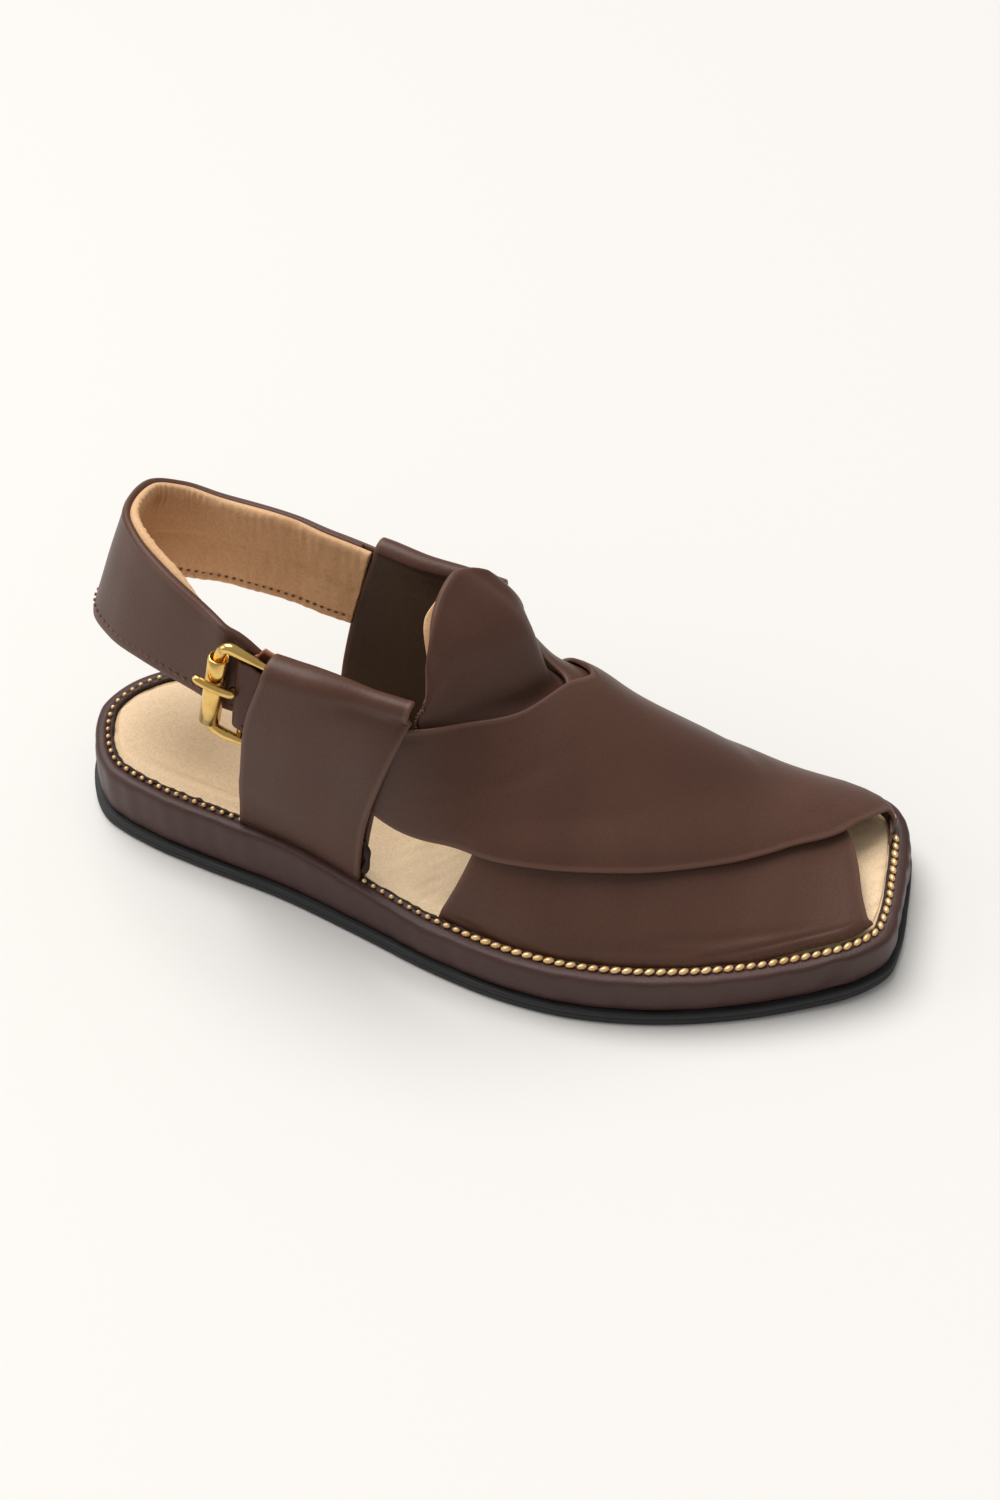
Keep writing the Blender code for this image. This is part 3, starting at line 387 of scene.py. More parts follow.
def outline_points():
    """The outline as a closed curve in even steps, from the heel to the toe's middle and back."""
    rows = np.column_stack([OUTLINE["along"] * SOLE_LENGTH, OUTLINE["across"] * BALL_WIDTH])
    loop = np.vstack([rows[-2:], rows, rows[:3]])
    knots = run_along(loop)
    toe = knots[2 + TOE_ROW]
    halves = []
    for start, end in ((knots[2], toe), (toe, knots[-3])):
        curve = follow_points(knots, loop, np.linspace(start, end, 1200))
        run = run_along(curve)
        halves.append(points_at(np.linspace(0.0, run[-1], HALF_RING + 1)[:-1], run, curve))
    return np.vstack(halves)


def inward_of(points):
    """The inward direction at each point of a closed outline."""
    tangent = unit(np.roll(points, -1, axis=0) - np.roll(points, 1, axis=0))
    return np.column_stack([-tangent[:, 1], tangent[:, 0]])


RING = outline_points()
BASE_RING = RING + inward_of(RING) * LAST_INSET


def base_sides(x):
    """The last's lateral and medial base lines at x."""
    lateral = BASE_RING[1:HALF_RING]
    medial = BASE_RING[HALF_RING + 1:][::-1]
    return np.interp(x, *lateral.T), np.interp(x, *medial.T)


def last(x, around):
    """A point of the last: at x, from its lateral base, 0, over the ridge to the medial, 1.

    Each side is a cubic curve from the base, up by its rise, to a level arrival at the ridge.
    """
    x, around = np.broadcast_arrays(np.asarray(x, float), np.asarray(around, float))
    at = LAST["at"] * SOLE_LENGTH

    def value(name):
        return follow(at, LAST[name], x)

    lateral_base, medial_base = base_sides(x)
    foot = platform(x) + 2 * GAP + TIP_LIFT * ease((x / SOLE_LENGTH - 0.30) / 0.12)
    ridge = value("ridge_side") * BALL_WIDTH
    up = value("ridge_up") * INSTEP_HEIGHT
    lateral = around < 0.5
    base = np.where(lateral, lateral_base, medial_base)
    rise, lean, flat = (
        np.where(lateral, value("lateral_" + name), value("medial_" + name))
        for name in ("rise", "lean", "flat")
    )
    t = 1 - np.abs(2 * around - 1)
    half = ridge - base
    y = (
        base * (1 - t) ** 3
        + 3 * (base + lean * half) * t * (1 - t) ** 2
        + 3 * (ridge - flat * half) * t * t * (1 - t)
        + ridge * t ** 3
    )
    z = foot + up * (3 * rise * t * (1 - t) ** 2 + 3 * t * t * (1 - t) + t ** 3)
    return np.stack([x, y, z], axis=-1)


def around_at(x, height, side):
    """Where the last's side reaches a height: its place around the section, by halving."""
    low = np.zeros_like(np.broadcast_arrays(x, height)[0], dtype=float)
    high = low + 0.5
    for _ in range(30):
        middle = (low + high) / 2
        place = middle if side < 0 else 1 - middle
        below = last(x, place)[..., 2] < height
        low = np.where(below, middle, low)
        high = np.where(below, high, middle)
    return middle if side < 0 else 1 - middle


def wall_exact(x, up, side):
    """How far across the middle of a side band's sleeve is, at a place along and a height."""
    x, up = np.broadcast_arrays(np.asarray(x, float), np.asarray(up, float))
    probe = 0.006
    lower = last(x, around_at(x, BAND_STRAIGHT_FROM - probe + 0 * up, side))
    higher = last(x, around_at(x, BAND_STRAIGHT_FROM + 0 * up, side))
    slope = (higher - lower)[..., 1] / probe
    on_last = last(x, around_at(x, np.minimum(up, BAND_STRAIGHT_FROM), side))
    return on_last[..., 1] + slope * np.maximum(up - BAND_STRAIGHT_FROM, 0.0)


WALL_ALONG = np.linspace(-0.100, 0.010, 221)
WALL_UP = np.linspace(0.018, 0.110, 185)
WALLS = {side: wall_exact(WALL_ALONG[:, None], WALL_UP[None, :], side) for side in (-1, 1)}


def wall_across(x, up, side):
    """wall_exact read from a fine table: the mean of the four nearest values by their shares."""
    x, up = np.broadcast_arrays(np.asarray(x, float), np.asarray(up, float))
    a = np.clip((x - WALL_ALONG[0]) / (WALL_ALONG[1] - WALL_ALONG[0]), 0, len(WALL_ALONG) - 1.001)
    b = np.clip((up - WALL_UP[0]) / (WALL_UP[1] - WALL_UP[0]), 0, len(WALL_UP) - 1.001)
    i, j = a.astype(int), b.astype(int)
    s, t = a - i, b - j
    table = WALLS[side]
    return (
        (table[i, j] * (1 - t) + table[i, j + 1] * t) * (1 - s)
        + (table[i + 1, j] * (1 - t) + table[i + 1, j + 1] * t) * s
    )


def band_place(table, tops, side, height, share):
    """A point of a side band's middle surface, at a share of its height and length."""
    ends = np.array(LATERAL_TOP_ACROSS if side < 0 else MEDIAL_TOP_ACROSS) * BALL_WIDTH
    knots = table["height"]
    rear = follow(knots, table["rear"], height) * SOLE_LENGTH
    front = follow(knots, table["front"], height) * SOLE_LENGTH
    x = rear + (front - rear) * share
    top = tops[0] + (tops[1] - tops[0]) * share
    foot = platform(x) + 3 * GAP
    up = foot + (top - foot) * height
    turned = ease((up - BAND_TOP_FROM) / (top - BAND_TOP_FROM))
    turned = turned * ease((share - BAND_TURNS_AT[0]) / (BAND_TURNS_AT[1] - BAND_TURNS_AT[0]))
    edge = ends[0] + (ends[1] - ends[0]) * share
    across = wall_across(x, up, side) * (1 - turned) + edge * turned
    return np.stack([x, across, up], axis=-1)


def strap_face(run, share):
    """The heel strap's outer face: at a share of its length and of its height."""
    run, share = np.broadcast_arrays(np.asarray(run, float), np.asarray(share, float))
    scale = (SOLE_LENGTH, BALL_WIDTH, INSTEP_HEIGHT)
    low, high = (
        np.column_stack([
            HEEL_STRAP[edge + name] * size
            for name, size in zip(("_along", "_across", "_up"), scale)
        ])
        for edge in ("low", "high")
    )
    knots = run_along((low + high) / 2)
    knots /= knots[-1]
    low, high = (follow_points(knots, edge, run) for edge in (low, high))
    point = low + (high - low) * share[..., None]
    x, y, z = point[..., 0], point[..., 1], point[..., 2]
    inside = BUCKLE_SLEEVE / 2 - GAP - HEEL_STRAP_WALL
    for side, lead, offset, here in (
        (-1, LATERAL_LEAD, -inside, run < 0.5),
        (1, MEDIAL_LEAD, HEEL_STRAP_WALL / 2, run > 0.5),
    ):
        merge = ease((x / SOLE_LENGTH - lead[0]) / lead[1]) * here
        y = y + (wall_across(x, z, side) + side * offset - y) * merge
    return np.stack([x, y, z], axis=-1)


def strap_inward(run, share):
    """The direction from the heel strap's outer face towards the foot."""
    step = 0.004
    along = strap_face(run + step, share) - strap_face(run - step, share)
    rising = strap_face(run, share + 10 * step) - strap_face(run, share - 10 * step)
    return unit(np.cross(along, rising))


def edge_rows(table, run):
    """A front strap's edge on the last, at each place along its run."""
    at, around = (follow(table["run"], table[name], run) for name in ("at", "round"))
    return at * SOLE_LENGTH, np.clip(around, 0.0, 1.0)


def strap_across(x, up):
    """How far across the heel strap's outer face is on its lateral side, at x and a height."""
    run = np.linspace(0.0, 0.3, 301)
    low, high = strap_face(run, 0.0), strap_face(run, 1.0)
    face = strap_face(run, (up - low[:, 2]) / (high[:, 2] - low[:, 2]))
    return np.interp(-x, -face[:, 0], face[:, 1])


def bar_offset():
    """How far outside the sleeve's middle the buckle's bars and the folded leather lie."""
    return BUCKLE_SLEEVE / 2 - GAP - CHAPE_WALL - BAR_ROOM - BAR_DIAMETER / 2


def bar_ends():
    """The buckle's middle bar: its lower and upper ends, centred in the folded leather."""
    x, z = np.array(BAR_ENDS).T
    return np.column_stack([x, wall_across(x, z, -1) - bar_offset(), z])


def frame_corners():
    """The frame's corners: off the heel strap by the roller's radius and room, or in the fold."""
    corners = []
    for i, (x, up, room) in enumerate(FRAME_CORNERS):
        if i in THIN_CORNERS:
            across = wall_across(x, up, -1) - bar_offset()
        else:
            across = strap_across(x, up) - ROLLER_DIAMETER / 2
        corners.append((x, float(across) - room, up))
    return np.array(corners)


def rounded(corners, radius, steps):
    """A closed path round corners: at each a parabola between two points near it."""
    t = np.linspace(0.0, 1.0, steps)[:, None]
    path = []
    for i, corner in enumerate(corners):
        before, after = corners[i - 1] - corner, corners[(i + 1) % len(corners)] - corner
        start, end = corner + unit(before) * radius, corner + unit(after) * radius
        path.append(start * (1 - t) ** 2 + corner * 2 * t * (1 - t) + end * t * t)
    return np.concatenate(path)


def lining_run(t, share):
    """The lining's place along the strap: its end slants like the medial band's rear edge."""
    return LINING_SPAN[0] + (LINING_SPAN[1] + LINING_END_LEAN * share - LINING_SPAN[0]) * t


def swept(path, radius, around, closed, tangent=None):
    """Rings of a round wire along a path, with a radius at each of its points."""
    path = np.asarray(path, float)
    if tangent is None and closed:
        tangent = np.roll(path, -1, axis=0) - np.roll(path, 1, axis=0)
    elif tangent is None:
        tangent = np.gradient(path, axis=0)
    tangent = unit(np.broadcast_to(tangent, path.shape))
    beside = unit(np.cross(tangent, [0.0, -1.0, 0.0]))
    front = np.cross(beside, tangent)
    angle = np.linspace(0.0, 2 * np.pi, around, endpoint=False)[None, :, None]
    spread = beside[:, None] * np.cos(angle) + front[:, None] * np.sin(angle)
    return path[:, None] + spread * np.reshape(radius, (-1, 1, 1))


# ---------------------------------------------------------------- meshes

def put_mesh(name, vertices, faces, material, replaces=(), rim=None, inside=None):
    """A finished piece from points and a list of face arrays, each array with one face size.

    rim and inside are masks on the points, kept as attributes for the materials.
    """
    vertices = np.asarray(vertices, np.float32).reshape(-1, 3)
    faces = [np.asarray(f, np.int32) for f in faces if len(f)]
    mesh = bpy.data.meshes.new(name)
    mesh.vertices.add(len(vertices))
    mesh.vertices.foreach_set("co", vertices.ravel())
    sizes = np.concatenate([np.full(len(f), f.shape[1], np.int32) for f in faces])
    mesh.loops.add(int(sizes.sum()))
    mesh.loops.foreach_set("vertex_index", np.concatenate([f.ravel() for f in faces]))
    mesh.polygons.add(len(sizes))
    starts = np.concatenate([[0], np.cumsum(sizes)[:-1]]).astype(np.int32)
    mesh.polygons.foreach_set("loop_start", starts)
    mesh.update(calc_edges=True)
    mesh.validate()
    work = bmesh.new()
    work.from_mesh(mesh)
    bmesh.ops.recalc_face_normals(work, faces=work.faces)
    work.to_mesh(mesh)
    work.free()
    mesh.shade_smooth()
    for label, values in (("rim", rim), ("inside", inside)):
        if values is not None:
            layer = mesh.attributes.new(label, "FLOAT", "POINT")
            layer.data.foreach_set("value", np.asarray(values, np.float32).ravel())
    mesh.materials.append(material)
    piece = bpy.data.objects.new(name, mesh)
    bpy.context.scene.collection.objects.link(piece)
    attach(piece, "root")
    if replaces:
        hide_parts(*replaces)
    return piece


def ring_quads(rows):
    """Quads between rows of point numbers, each row a closed ring."""
    ahead = np.roll(rows, -1, axis=1)
    return np.stack([rows[:-1], ahead[:-1], ahead[1:], rows[1:]], -1).reshape(-1, 4)


def grid_quads(index):
    """Quads between the rows and columns of a grid of point numbers."""
    corners = [index[:-1, :-1], index[1:, :-1], index[1:, 1:], index[:-1, 1:]]
    return np.stack(corners, -1).reshape(-1, 4)


def surface_normals(grid):
    """Unit normals of a grid of points: the cross product of its two directions."""
    return unit(np.cross(np.gradient(grid, axis=0), np.gradient(grid, axis=1)))


def facing(grid, outward):
    """1 or -1, to turn a grid's normals to the outside."""
    return float(np.sign(np.sum(surface_normals(grid) * outward)))


def distance_to_border(grid):
    """For each point of a grid, how far along the surface the nearest border is."""
    runs = []
    for axis in (0, 1):
        steps = np.linalg.norm(np.diff(grid, axis=axis), axis=2)
        pad = ((1, 0), (0, 0)) if axis == 0 else ((0, 0), (1, 0))
        run = np.cumsum(np.pad(steps, pad), axis=axis)
        runs += [run, np.take(run, [-1], axis=axis) - run]
    return np.minimum.reduce(runs)


def leather(
    name, centre, wall, material, replaces=(), side=1.0, bead=1.0, skive=0.0, dent=None,
    lined_and_shaded=None,
):
    """A sheet of leather round a grid of middle points.

    Each face is the middle plus or minus half the wall along the normal. The border is closed by
    a half circle: the cosine of its angle times half the wall along the normal, and the sine
    times half the wall and bead outwards. skive thins the wall towards the border, and dent is
    added along the normal to both faces. The mask of lined points marks where the outer face has
    the inner colour, which there is partly a darker lining and partly painted shade.
    """
    n, m = centre.shape[:2]
    normal = surface_normals(centre) * side
    edge = distance_to_border(centre)
    if dent is not None:
        centre = centre + normal * dent[..., None]
    half = wall / 2 * (1 - skive * (1 - ease(edge / 0.005)))[..., None]
    outer, inner = centre + normal * half, centre - normal * half
    loop = np.concatenate([
        np.stack([np.arange(n - 1), np.zeros(n - 1, int)], 1),
        np.stack([np.full(m - 1, n - 1), np.arange(m - 1)], 1),
        np.stack([np.arange(n - 1, 0, -1), np.full(n - 1, m - 1)], 1),
        np.stack([np.zeros(m - 1, int), np.arange(m - 1, 0, -1)], 1),
    ])
    i, j = loop.T
    middle = centre[i, j]
    away = unit(middle - centre[np.clip(i, 1, n - 2), np.clip(j, 1, m - 2)])
    angles = np.linspace(0.0, np.pi, 7)[1:-1]
    border = np.stack([
        middle + normal[i, j] * half[i, j] * np.cos(a) + away * half[i, j] * bead * np.sin(a)
        for a in angles
    ])
    vertices = np.concatenate([part.reshape(-1, 3) for part in (outer, inner, border)])
    index = np.arange(n * m).reshape(n, m)
    front = grid_quads(index)
    size = len(loop)
    beads = 2 * n * m + np.arange(len(angles) * size).reshape(-1, size)
    strip = ring_quads(np.vstack([index[i, j], beads, index[i, j] + n * m]))
    faces = [np.concatenate([front, front[:, ::-1] + n * m, strip])]
    near = 1 - ease((edge - 0.0002) / 0.0014)
    rim = np.concatenate([near.ravel(), near.ravel(), np.ones(border.shape[0] * size)])
    turned = np.repeat(np.linspace(0.0, 1.0, 7)[1:-1], size)
    outside = np.zeros(n * m) if lined_and_shaded is None else np.broadcast_to(lined_and_shaded, (n, m)).ravel()
    inside = np.concatenate([outside, np.ones(n * m), turned])
    return put_mesh(name, vertices, faces, material, replaces, rim, inside)


def ring_tube(name, rings, material, replaces=(), closed=False):
    """Rings of points joined in order into a tube: closed on itself, or capped at each end."""
    count, around = rings.shape[:2]
    index = np.arange(count * around).reshape(count, around)
    faces = [ring_quads(np.vstack([index, index[:1]]) if closed else index)]
    vertices = rings.reshape(-1, 3)
    if not closed:
        vertices = np.concatenate([vertices, rings[[0, -1]].mean(axis=1)])
        for end, centre in ((index[0], count * around), (index[-1], count * around + 1)):
            faces.append(np.stack([end, np.roll(end, -1), np.full(around, centre)], -1))
    return put_mesh(name, vertices, faces, material, replaces)


def studs(name, centre, along, up, size, material, slot, replaces=(), rings=5, sides=8):
    """One small ellipsoid at each centre: along, across and up times its three sizes."""
    across = unit(np.cross(up, along))
    up = unit(np.cross(along, across))
    tilt = np.linspace(0.0, np.pi, rings + 2)[1:-1]
    turn = np.linspace(0.0, 2 * np.pi, sides, endpoint=False)
    x = np.concatenate([[1.0], np.repeat(np.cos(tilt), sides), [-1.0]])
    y = np.concatenate([[0.0], (np.sin(tilt)[:, None] * np.cos(turn)).ravel(), [0.0]])
    z = np.concatenate([[0.0], (np.sin(tilt)[:, None] * np.sin(turn)).ravel(), [0.0]])
    size = np.broadcast_to(size, (len(centre), 3))
    vertices = (
        centre[:, None]
        + along[:, None] * (x * size[:, :1])[..., None]
        + across[:, None] * (y * size[:, 1:2])[..., None]
        + up[:, None] * (z * size[:, 2:])[..., None]
    )
    body = 1 + np.arange(rings * sides).reshape(rings, sides)
    turned = np.roll(body, -1, 1)
    quads = ring_quads(body)
    last_point = rings * sides + 1
    caps = np.concatenate([
        np.stack([np.zeros(sides, int), body[0], turned[0]], -1),
        np.stack([np.full(sides, last_point), turned[-1], body[-1]], -1),
    ])
    shift = (np.arange(len(centre)) * (last_point + 1))[:, None, None]
    faces = [(quads[None] + shift).reshape(-1, 4), (caps[None] + shift).reshape(-1, 3)]
    return put_mesh(name, vertices, faces, material, replaces)


def even_path(points, pitch):
    """Places an even pitch apart along a polyline, with the direction at each."""
    run = run_along(points)
    at = np.arange(pitch / 2, run[-1], pitch)
    near = 1e-4
    along = unit(points_at(at + near, run, points) - points_at(at - near, run, points))
    return points_at(at, run, points), along


def stitches(name, points, normals, pitch, length, width, material, slot):
    """A row of stitches: thin ellipsoids along a path, half sunk in what they hold."""
    place, along = even_path(points, pitch)
    up = unit(points_at(np.linspace(0, 1, len(place)), np.linspace(0, 1, len(points)), normals))
    size = (length / 2, width / 2, width / 2)
    return studs(
        name, place + up * width * 0.05, along, up, size, material, slot, rings=4, sides=6,
    )


def waves(x, y, z, length, count=9):
    """Soft unevenness from -1 to 1: a mean of sines that run in fixed random directions."""
    total = 0.0 * x
    for _ in range(count):
        direction = unit(RANDOM.normal(size=3))
        pitch = length * RANDOM.uniform(0.6, 1.6)
        phase = RANDOM.uniform(0, 2 * np.pi)
        along = x * direction[0] + y * direction[1] + z * direction[2]
        total = total + np.sin(2 * np.pi * along / pitch + phase)
    return total / np.sqrt(count)


def uneven(grid, height, length):
    """waves() of a height over a grid of points."""
    return height * waves(*np.moveaxis(grid, -1, 0), length)


def crease(u, v, start, end, width, depth):
    """A soft trough along a line in two surface shares: a bell curve of the distance to it."""
    du, dv = end[0] - start[0], end[1] - start[1]
    t = np.clip(((u - start[0]) * du + (v - start[1]) * dv) / (du * du + dv * dv), 0, 1)
    distance = np.hypot(u - start[0] - t * du, v - start[1] - t * dv)
    ends = np.sin(np.pi * np.clip(0.15 + 0.7 * t, 0, 1))
    return -depth * np.exp(-(distance / width) ** 2) * ends


# ---------------------------------------------------------------- materials

def group(name, inputs, outputs, build):
    """A shader node group with named sockets, whose inside is made by build."""
    tree = bpy.data.node_groups.new(name, "ShaderNodeTree")
    for label, kind, value in inputs:
        socket = tree.interface.new_socket(label, in_out="INPUT", socket_type=kind)
        socket.default_value = value
    for label, kind in outputs:
        tree.interface.new_socket(label, in_out="OUTPUT", socket_type=kind)
    source, sink = tree.nodes.new("NodeGroupInput"), tree.nodes.new("NodeGroupOutput")
    build(tree, source, sink)
    return tree


def node(tree, kind, links=(), **values):
    """A node with its settings, input values by index or name, and links from other sockets."""
    made = tree.nodes.new(kind)
    for key, value in values.items():
        setattr(made, key, value)
    for key, value in dict(links).items():
        socket = made.inputs[key]
        if isinstance(value, bpy.types.NodeSocket):
            tree.links.new(value, socket)
        else:
            socket.default_value = value
    return made


def blend(tree, factor, first, second):
    """A colour mix's output."""
    links = {0: factor, 6: first, 7: second}
    return node(tree, "ShaderNodeMix", links, data_type="RGBA", blend_type="MIX").outputs[2]


def math(tree, operation, first, second, clamp=False):
    """A math node's output."""
    links = {0: first, 1: second}
    return node(tree, "ShaderNodeMath", links, operation=operation, use_clamp=clamp).outputs[0]


def ramp(tree, value, source=(0.0, 1.0), target=(0.0, 1.0)):
    """A value taken from one range to another."""
    ends = dict(zip(("From Min", "From Max", "To Min", "To Max"), (*source, *target)))
    return node(tree, "ShaderNodeMapRange", {"Value": value, **ends}).outputs[0]


def noise(tree, place, scale, detail, roughness):
    """A noise texture's value."""
    links = {"Vector": place, "Scale": scale, "Detail": detail, "Roughness": roughness}
    return node(tree, "ShaderNodeTexNoise", links).outputs["Fac"]


def mask(tree, name):
    """The mask that put_mesh keeps on the points under a name."""
    return node(tree, "ShaderNodeAttribute", attribute_name=name).outputs["Fac"]


def principled(name):
    """A new material with its node tree and shader."""
    made = bpy.data.materials.new(name)
    made.use_nodes = True
    return made, made.node_tree, made.node_tree.nodes["Principled BSDF"]


def surface(tree, shader, colour, gloss, height, strength, distance):
    """Links a shader's colour, roughness and relief."""
    links = {"Height": height, "Strength": strength, "Distance": distance}
    relief = node(tree, "ShaderNodeBump", links).outputs[0]
    for name, socket in (("Base Color", colour), ("Roughness", gloss), ("Normal", relief)):
        tree.links.new(socket, shader.inputs[name])


def build_grain(tree, source, sink):
    """Leather's skin: pebbles from cells and noise for height, clouds of tone for colour."""
    place = node(tree, "ShaderNodeTexCoord").outputs["Object"]
    links = {"Vector": place, "Scale": source.outputs["Pebbles"]}
    cells = node(tree, "ShaderNodeTexVoronoi", links, feature="SMOOTH_F1").outputs["Distance"]
    fine = noise(tree, place, source.outputs["Pores"], 4.0, 0.6)
    clouds = noise(tree, place, source.outputs["Clouds"], 3.0, 0.55)
    height = math(tree, "ADD", math(tree, "MULTIPLY", cells, 0.6), math(tree, "MULTIPLY", fine, 0.6))
    tone = ramp(tree, clouds, (0.3, 0.7))
    colour = blend(tree, tone, source.outputs["Dark"], source.outputs["Light"])
    fleck = ramp(tree, fine, (0.35, 0.65), (0.9, 1.08))
    scaled = node(tree, "ShaderNodeVectorMath", {0: colour, "Scale": fleck}, operation="SCALE")
    for name, socket in (("Color", scaled.outputs[0]), ("Height", height), ("Tone", tone)):
        tree.links.new(socket, sink.inputs[name])


COLOUR, NUMBER = "NodeSocketColor", "NodeSocketFloat"
GRAIN = group(
    "leather_grain",
    [
        ("Dark", COLOUR, (0, 0, 0, 1)), ("Light", COLOUR, (1, 1, 1, 1)), ("Pebbles", NUMBER, 900.0),
        ("Pores", NUMBER, 1500.0), ("Clouds", NUMBER, 18.0),
    ],
    [("Color", COLOUR), ("Height", NUMBER), ("Tone", NUMBER)],
    build_grain,
)


# Where a sheet's inner colour starts round its border, and the reliefs' depths.
INSIDE_FROM = 0.58
LEATHER_RELIEF = 0.0004
BRASS_RELIEF = 0.0002


def leather_finish(
    name, dark, light, rough=(0.5, 0.62), pebbles=900.0, pores=1500.0, clouds=18.0, bump=0.12,
    rim=None, inner=None, specular=0.4,
):
    """A leather: its grain's colour, another colour and share at the rim, another one inside."""
    made, tree, shader = principled(name)
    looks = {
        "Dark": (*dark, 1), "Light": (*light, 1), "Pebbles": pebbles, "Pores": pores, "Clouds": clouds,
    }
    grain = node(tree, "ShaderNodeGroup", node_tree=GRAIN)
    for label, value in looks.items():
        grain.inputs[label].default_value = value
    colour = grain.outputs["Color"]
    if inner is not None:
        turned = math(tree, "GREATER_THAN", mask(tree, "inside"), INSIDE_FROM)
        colour = blend(tree, turned, colour, (*inner, 1))
    if rim is not None:
        edge = math(tree, "MULTIPLY", mask(tree, "rim"), rim[3], clamp=True)
        colour = blend(tree, edge, colour, (*rim[:3], 1))
    gloss = ramp(tree, grain.outputs["Tone"], target=rough)
    surface(tree, shader, colour, gloss, grain.outputs["Height"], bump, LEATHER_RELIEF)
    shader.inputs["Specular IOR Level"].default_value = specular
    return made


def brass_finish(name, colour, deep, rough, metal=1.0):
    """Brass: a polished colour and a duller, browner one, mixed by fine noise that also sets its roughness
    and relief.
    """
    made, tree, shader = principled(name)
    place = node(tree, "ShaderNodeTexCoord").outputs["Object"]
    wear = noise(tree, place, 180.0, 3.0, 0.5)
    tone = blend(tree, ramp(tree, wear, (0.46, 0.80)), (*colour, 1), (*deep, 1))
    surface(tree, shader, tone, ramp(tree, wear, (0.3, 0.7), rough), wear, 0.03, BRASS_RELIEF)
    shader.inputs["Metallic"].default_value = metal
    return made


# inner is the flesh side's colour. On the side bands' inner plies it is also painted shade inside the bands.
BROWN = leather_finish(
    "brown_leather", (0.074, 0.031, 0.0195), (0.096, 0.042, 0.027), rough=(0.40, 0.50), bump=0.18,
    rim=(0.16, 0.080, 0.056, 0.5), inner=(0.038, 0.016, 0.009), specular=0.30,
)
WRAP = leather_finish(
    "sole_wrap", (0.050, 0.021, 0.017), (0.070, 0.031, 0.026), rough=(0.38, 0.50), pebbles=1400.0,
    pores=2100.0, clouds=30.0, bump=0.25, specular=0.34,
)
TONGUE_SKIN = leather_finish(
    "tongue_leather", (0.074, 0.031, 0.020), (0.096, 0.042, 0.028), rough=(0.44, 0.54),
    rim=(0.15, 0.075, 0.052, 0.4), specular=0.26,
)
CREAM = leather_finish(
    "cream_lining", (0.67, 0.395, 0.205), (0.80, 0.495, 0.275), rough=(0.55, 0.68), pebbles=700.0,
    pores=1100.0, clouds=22.0, bump=0.14, specular=0.2,
)
INSOLE_SKIN = leather_finish(
    "cream_insole", (0.83, 0.605, 0.37), (0.92, 0.70, 0.455), rough=(0.42, 0.58), pebbles=600.0,
    pores=1300.0, clouds=16.0, bump=0.10, specular=0.25,
)
# Near-black for the seams at the rim and the bands' feet, and partly painted shade on the lateral band's
# curled front foot.
DARK_SEAM_AND_SHADE = leather_finish(
    "dark_seam_and_shade", (0.020, 0.010, 0.007), (0.048, 0.023, 0.016), rough=(0.6, 0.8), pebbles=1500.0, bump=0.3,
)
RUBBER = leather_finish(
    "black_rubber", (0.010, 0.010, 0.011), (0.022, 0.022, 0.024), rough=(0.5, 0.75), pebbles=1900.0,
    pores=2600.0, clouds=60.0, bump=0.25, specular=0.45,
)
CHAPE_LOOK = {
    "dark": (0.070, 0.026, 0.018), "light": (0.094, 0.037, 0.026), "rough": (0.46, 0.56),
    "specular": 0.26,
}
CHAPE_SKIN = leather_finish("chape_leather", rim=(0.50, 0.20, 0.13, 0.85), **CHAPE_LOOK)
CHAPE_OUTER = leather_finish("chape_outer", **CHAPE_LOOK)
THREAD_LOOK = {"rough": (0.7, 0.85), "pebbles": 2600.0, "bump": 0.3}
THREAD = leather_finish("brown_thread", (0.13, 0.052, 0.032), (0.24, 0.095, 0.055), **THREAD_LOOK)
CREAM_THREAD = leather_finish("cream_thread", (0.16, 0.080, 0.040), (0.27, 0.15, 0.080), **THREAD_LOOK)
BRASS = brass_finish("satin_brass", (0.80, 0.53, 0.17), (0.60, 0.35, 0.09), (0.17, 0.28))
GOLD_BEAD = brass_finish("gold_beads", (0.95, 0.64, 0.31), (0.76, 0.44, 0.17), (0.28, 0.42), 0.55)


# ---------------------------------------------------------------- sole

# Points round half the sole, the tread's ribs, and the insole's groove at the heel.
FINE_HALF = 300
RIB_PITCH = 0.0058
RIB_DEPTH = 0.0009
GROOVE_DEPTH = 0.0020
GROOVE_INSET = 0.0085
# The golden edging: points round half of it, the beads' pitch, and the corner they leave out.
EDGE_POINTS = 1200
BEAD_PITCH = 0.0036
TOE_CORNER = (0.1317, 0.0385)
CORNER_ROOM = 0.0024


def fine_ring(inset, half=FINE_HALF):
    """The sole's outline moved inwards, on a fine even ring: heel, lateral, toe, medial."""
    knots = np.arange(2 * HALF_RING + 1)
    at = np.arange(2 * half) * HALF_RING / half
    edge = np.vstack([RING, RING[:1]])
    point = np.column_stack([periodic(knots, edge[:, k], at) for k in (0, 1)])
    inward = inward_of(point)
    return point + inward * np.reshape(inset, (-1, 1)), inward


def periodic(knots, values, at):
    """follow() on a closed curve, whose last row repeats its first."""
    wrapped = np.concatenate([values[-4:-1], values, values[1:4]])
    places = np.concatenate([knots[-4:-1] - knots[-1], knots, knots[-1] + knots[1:4]])
    return follow(places, wrapped, at)


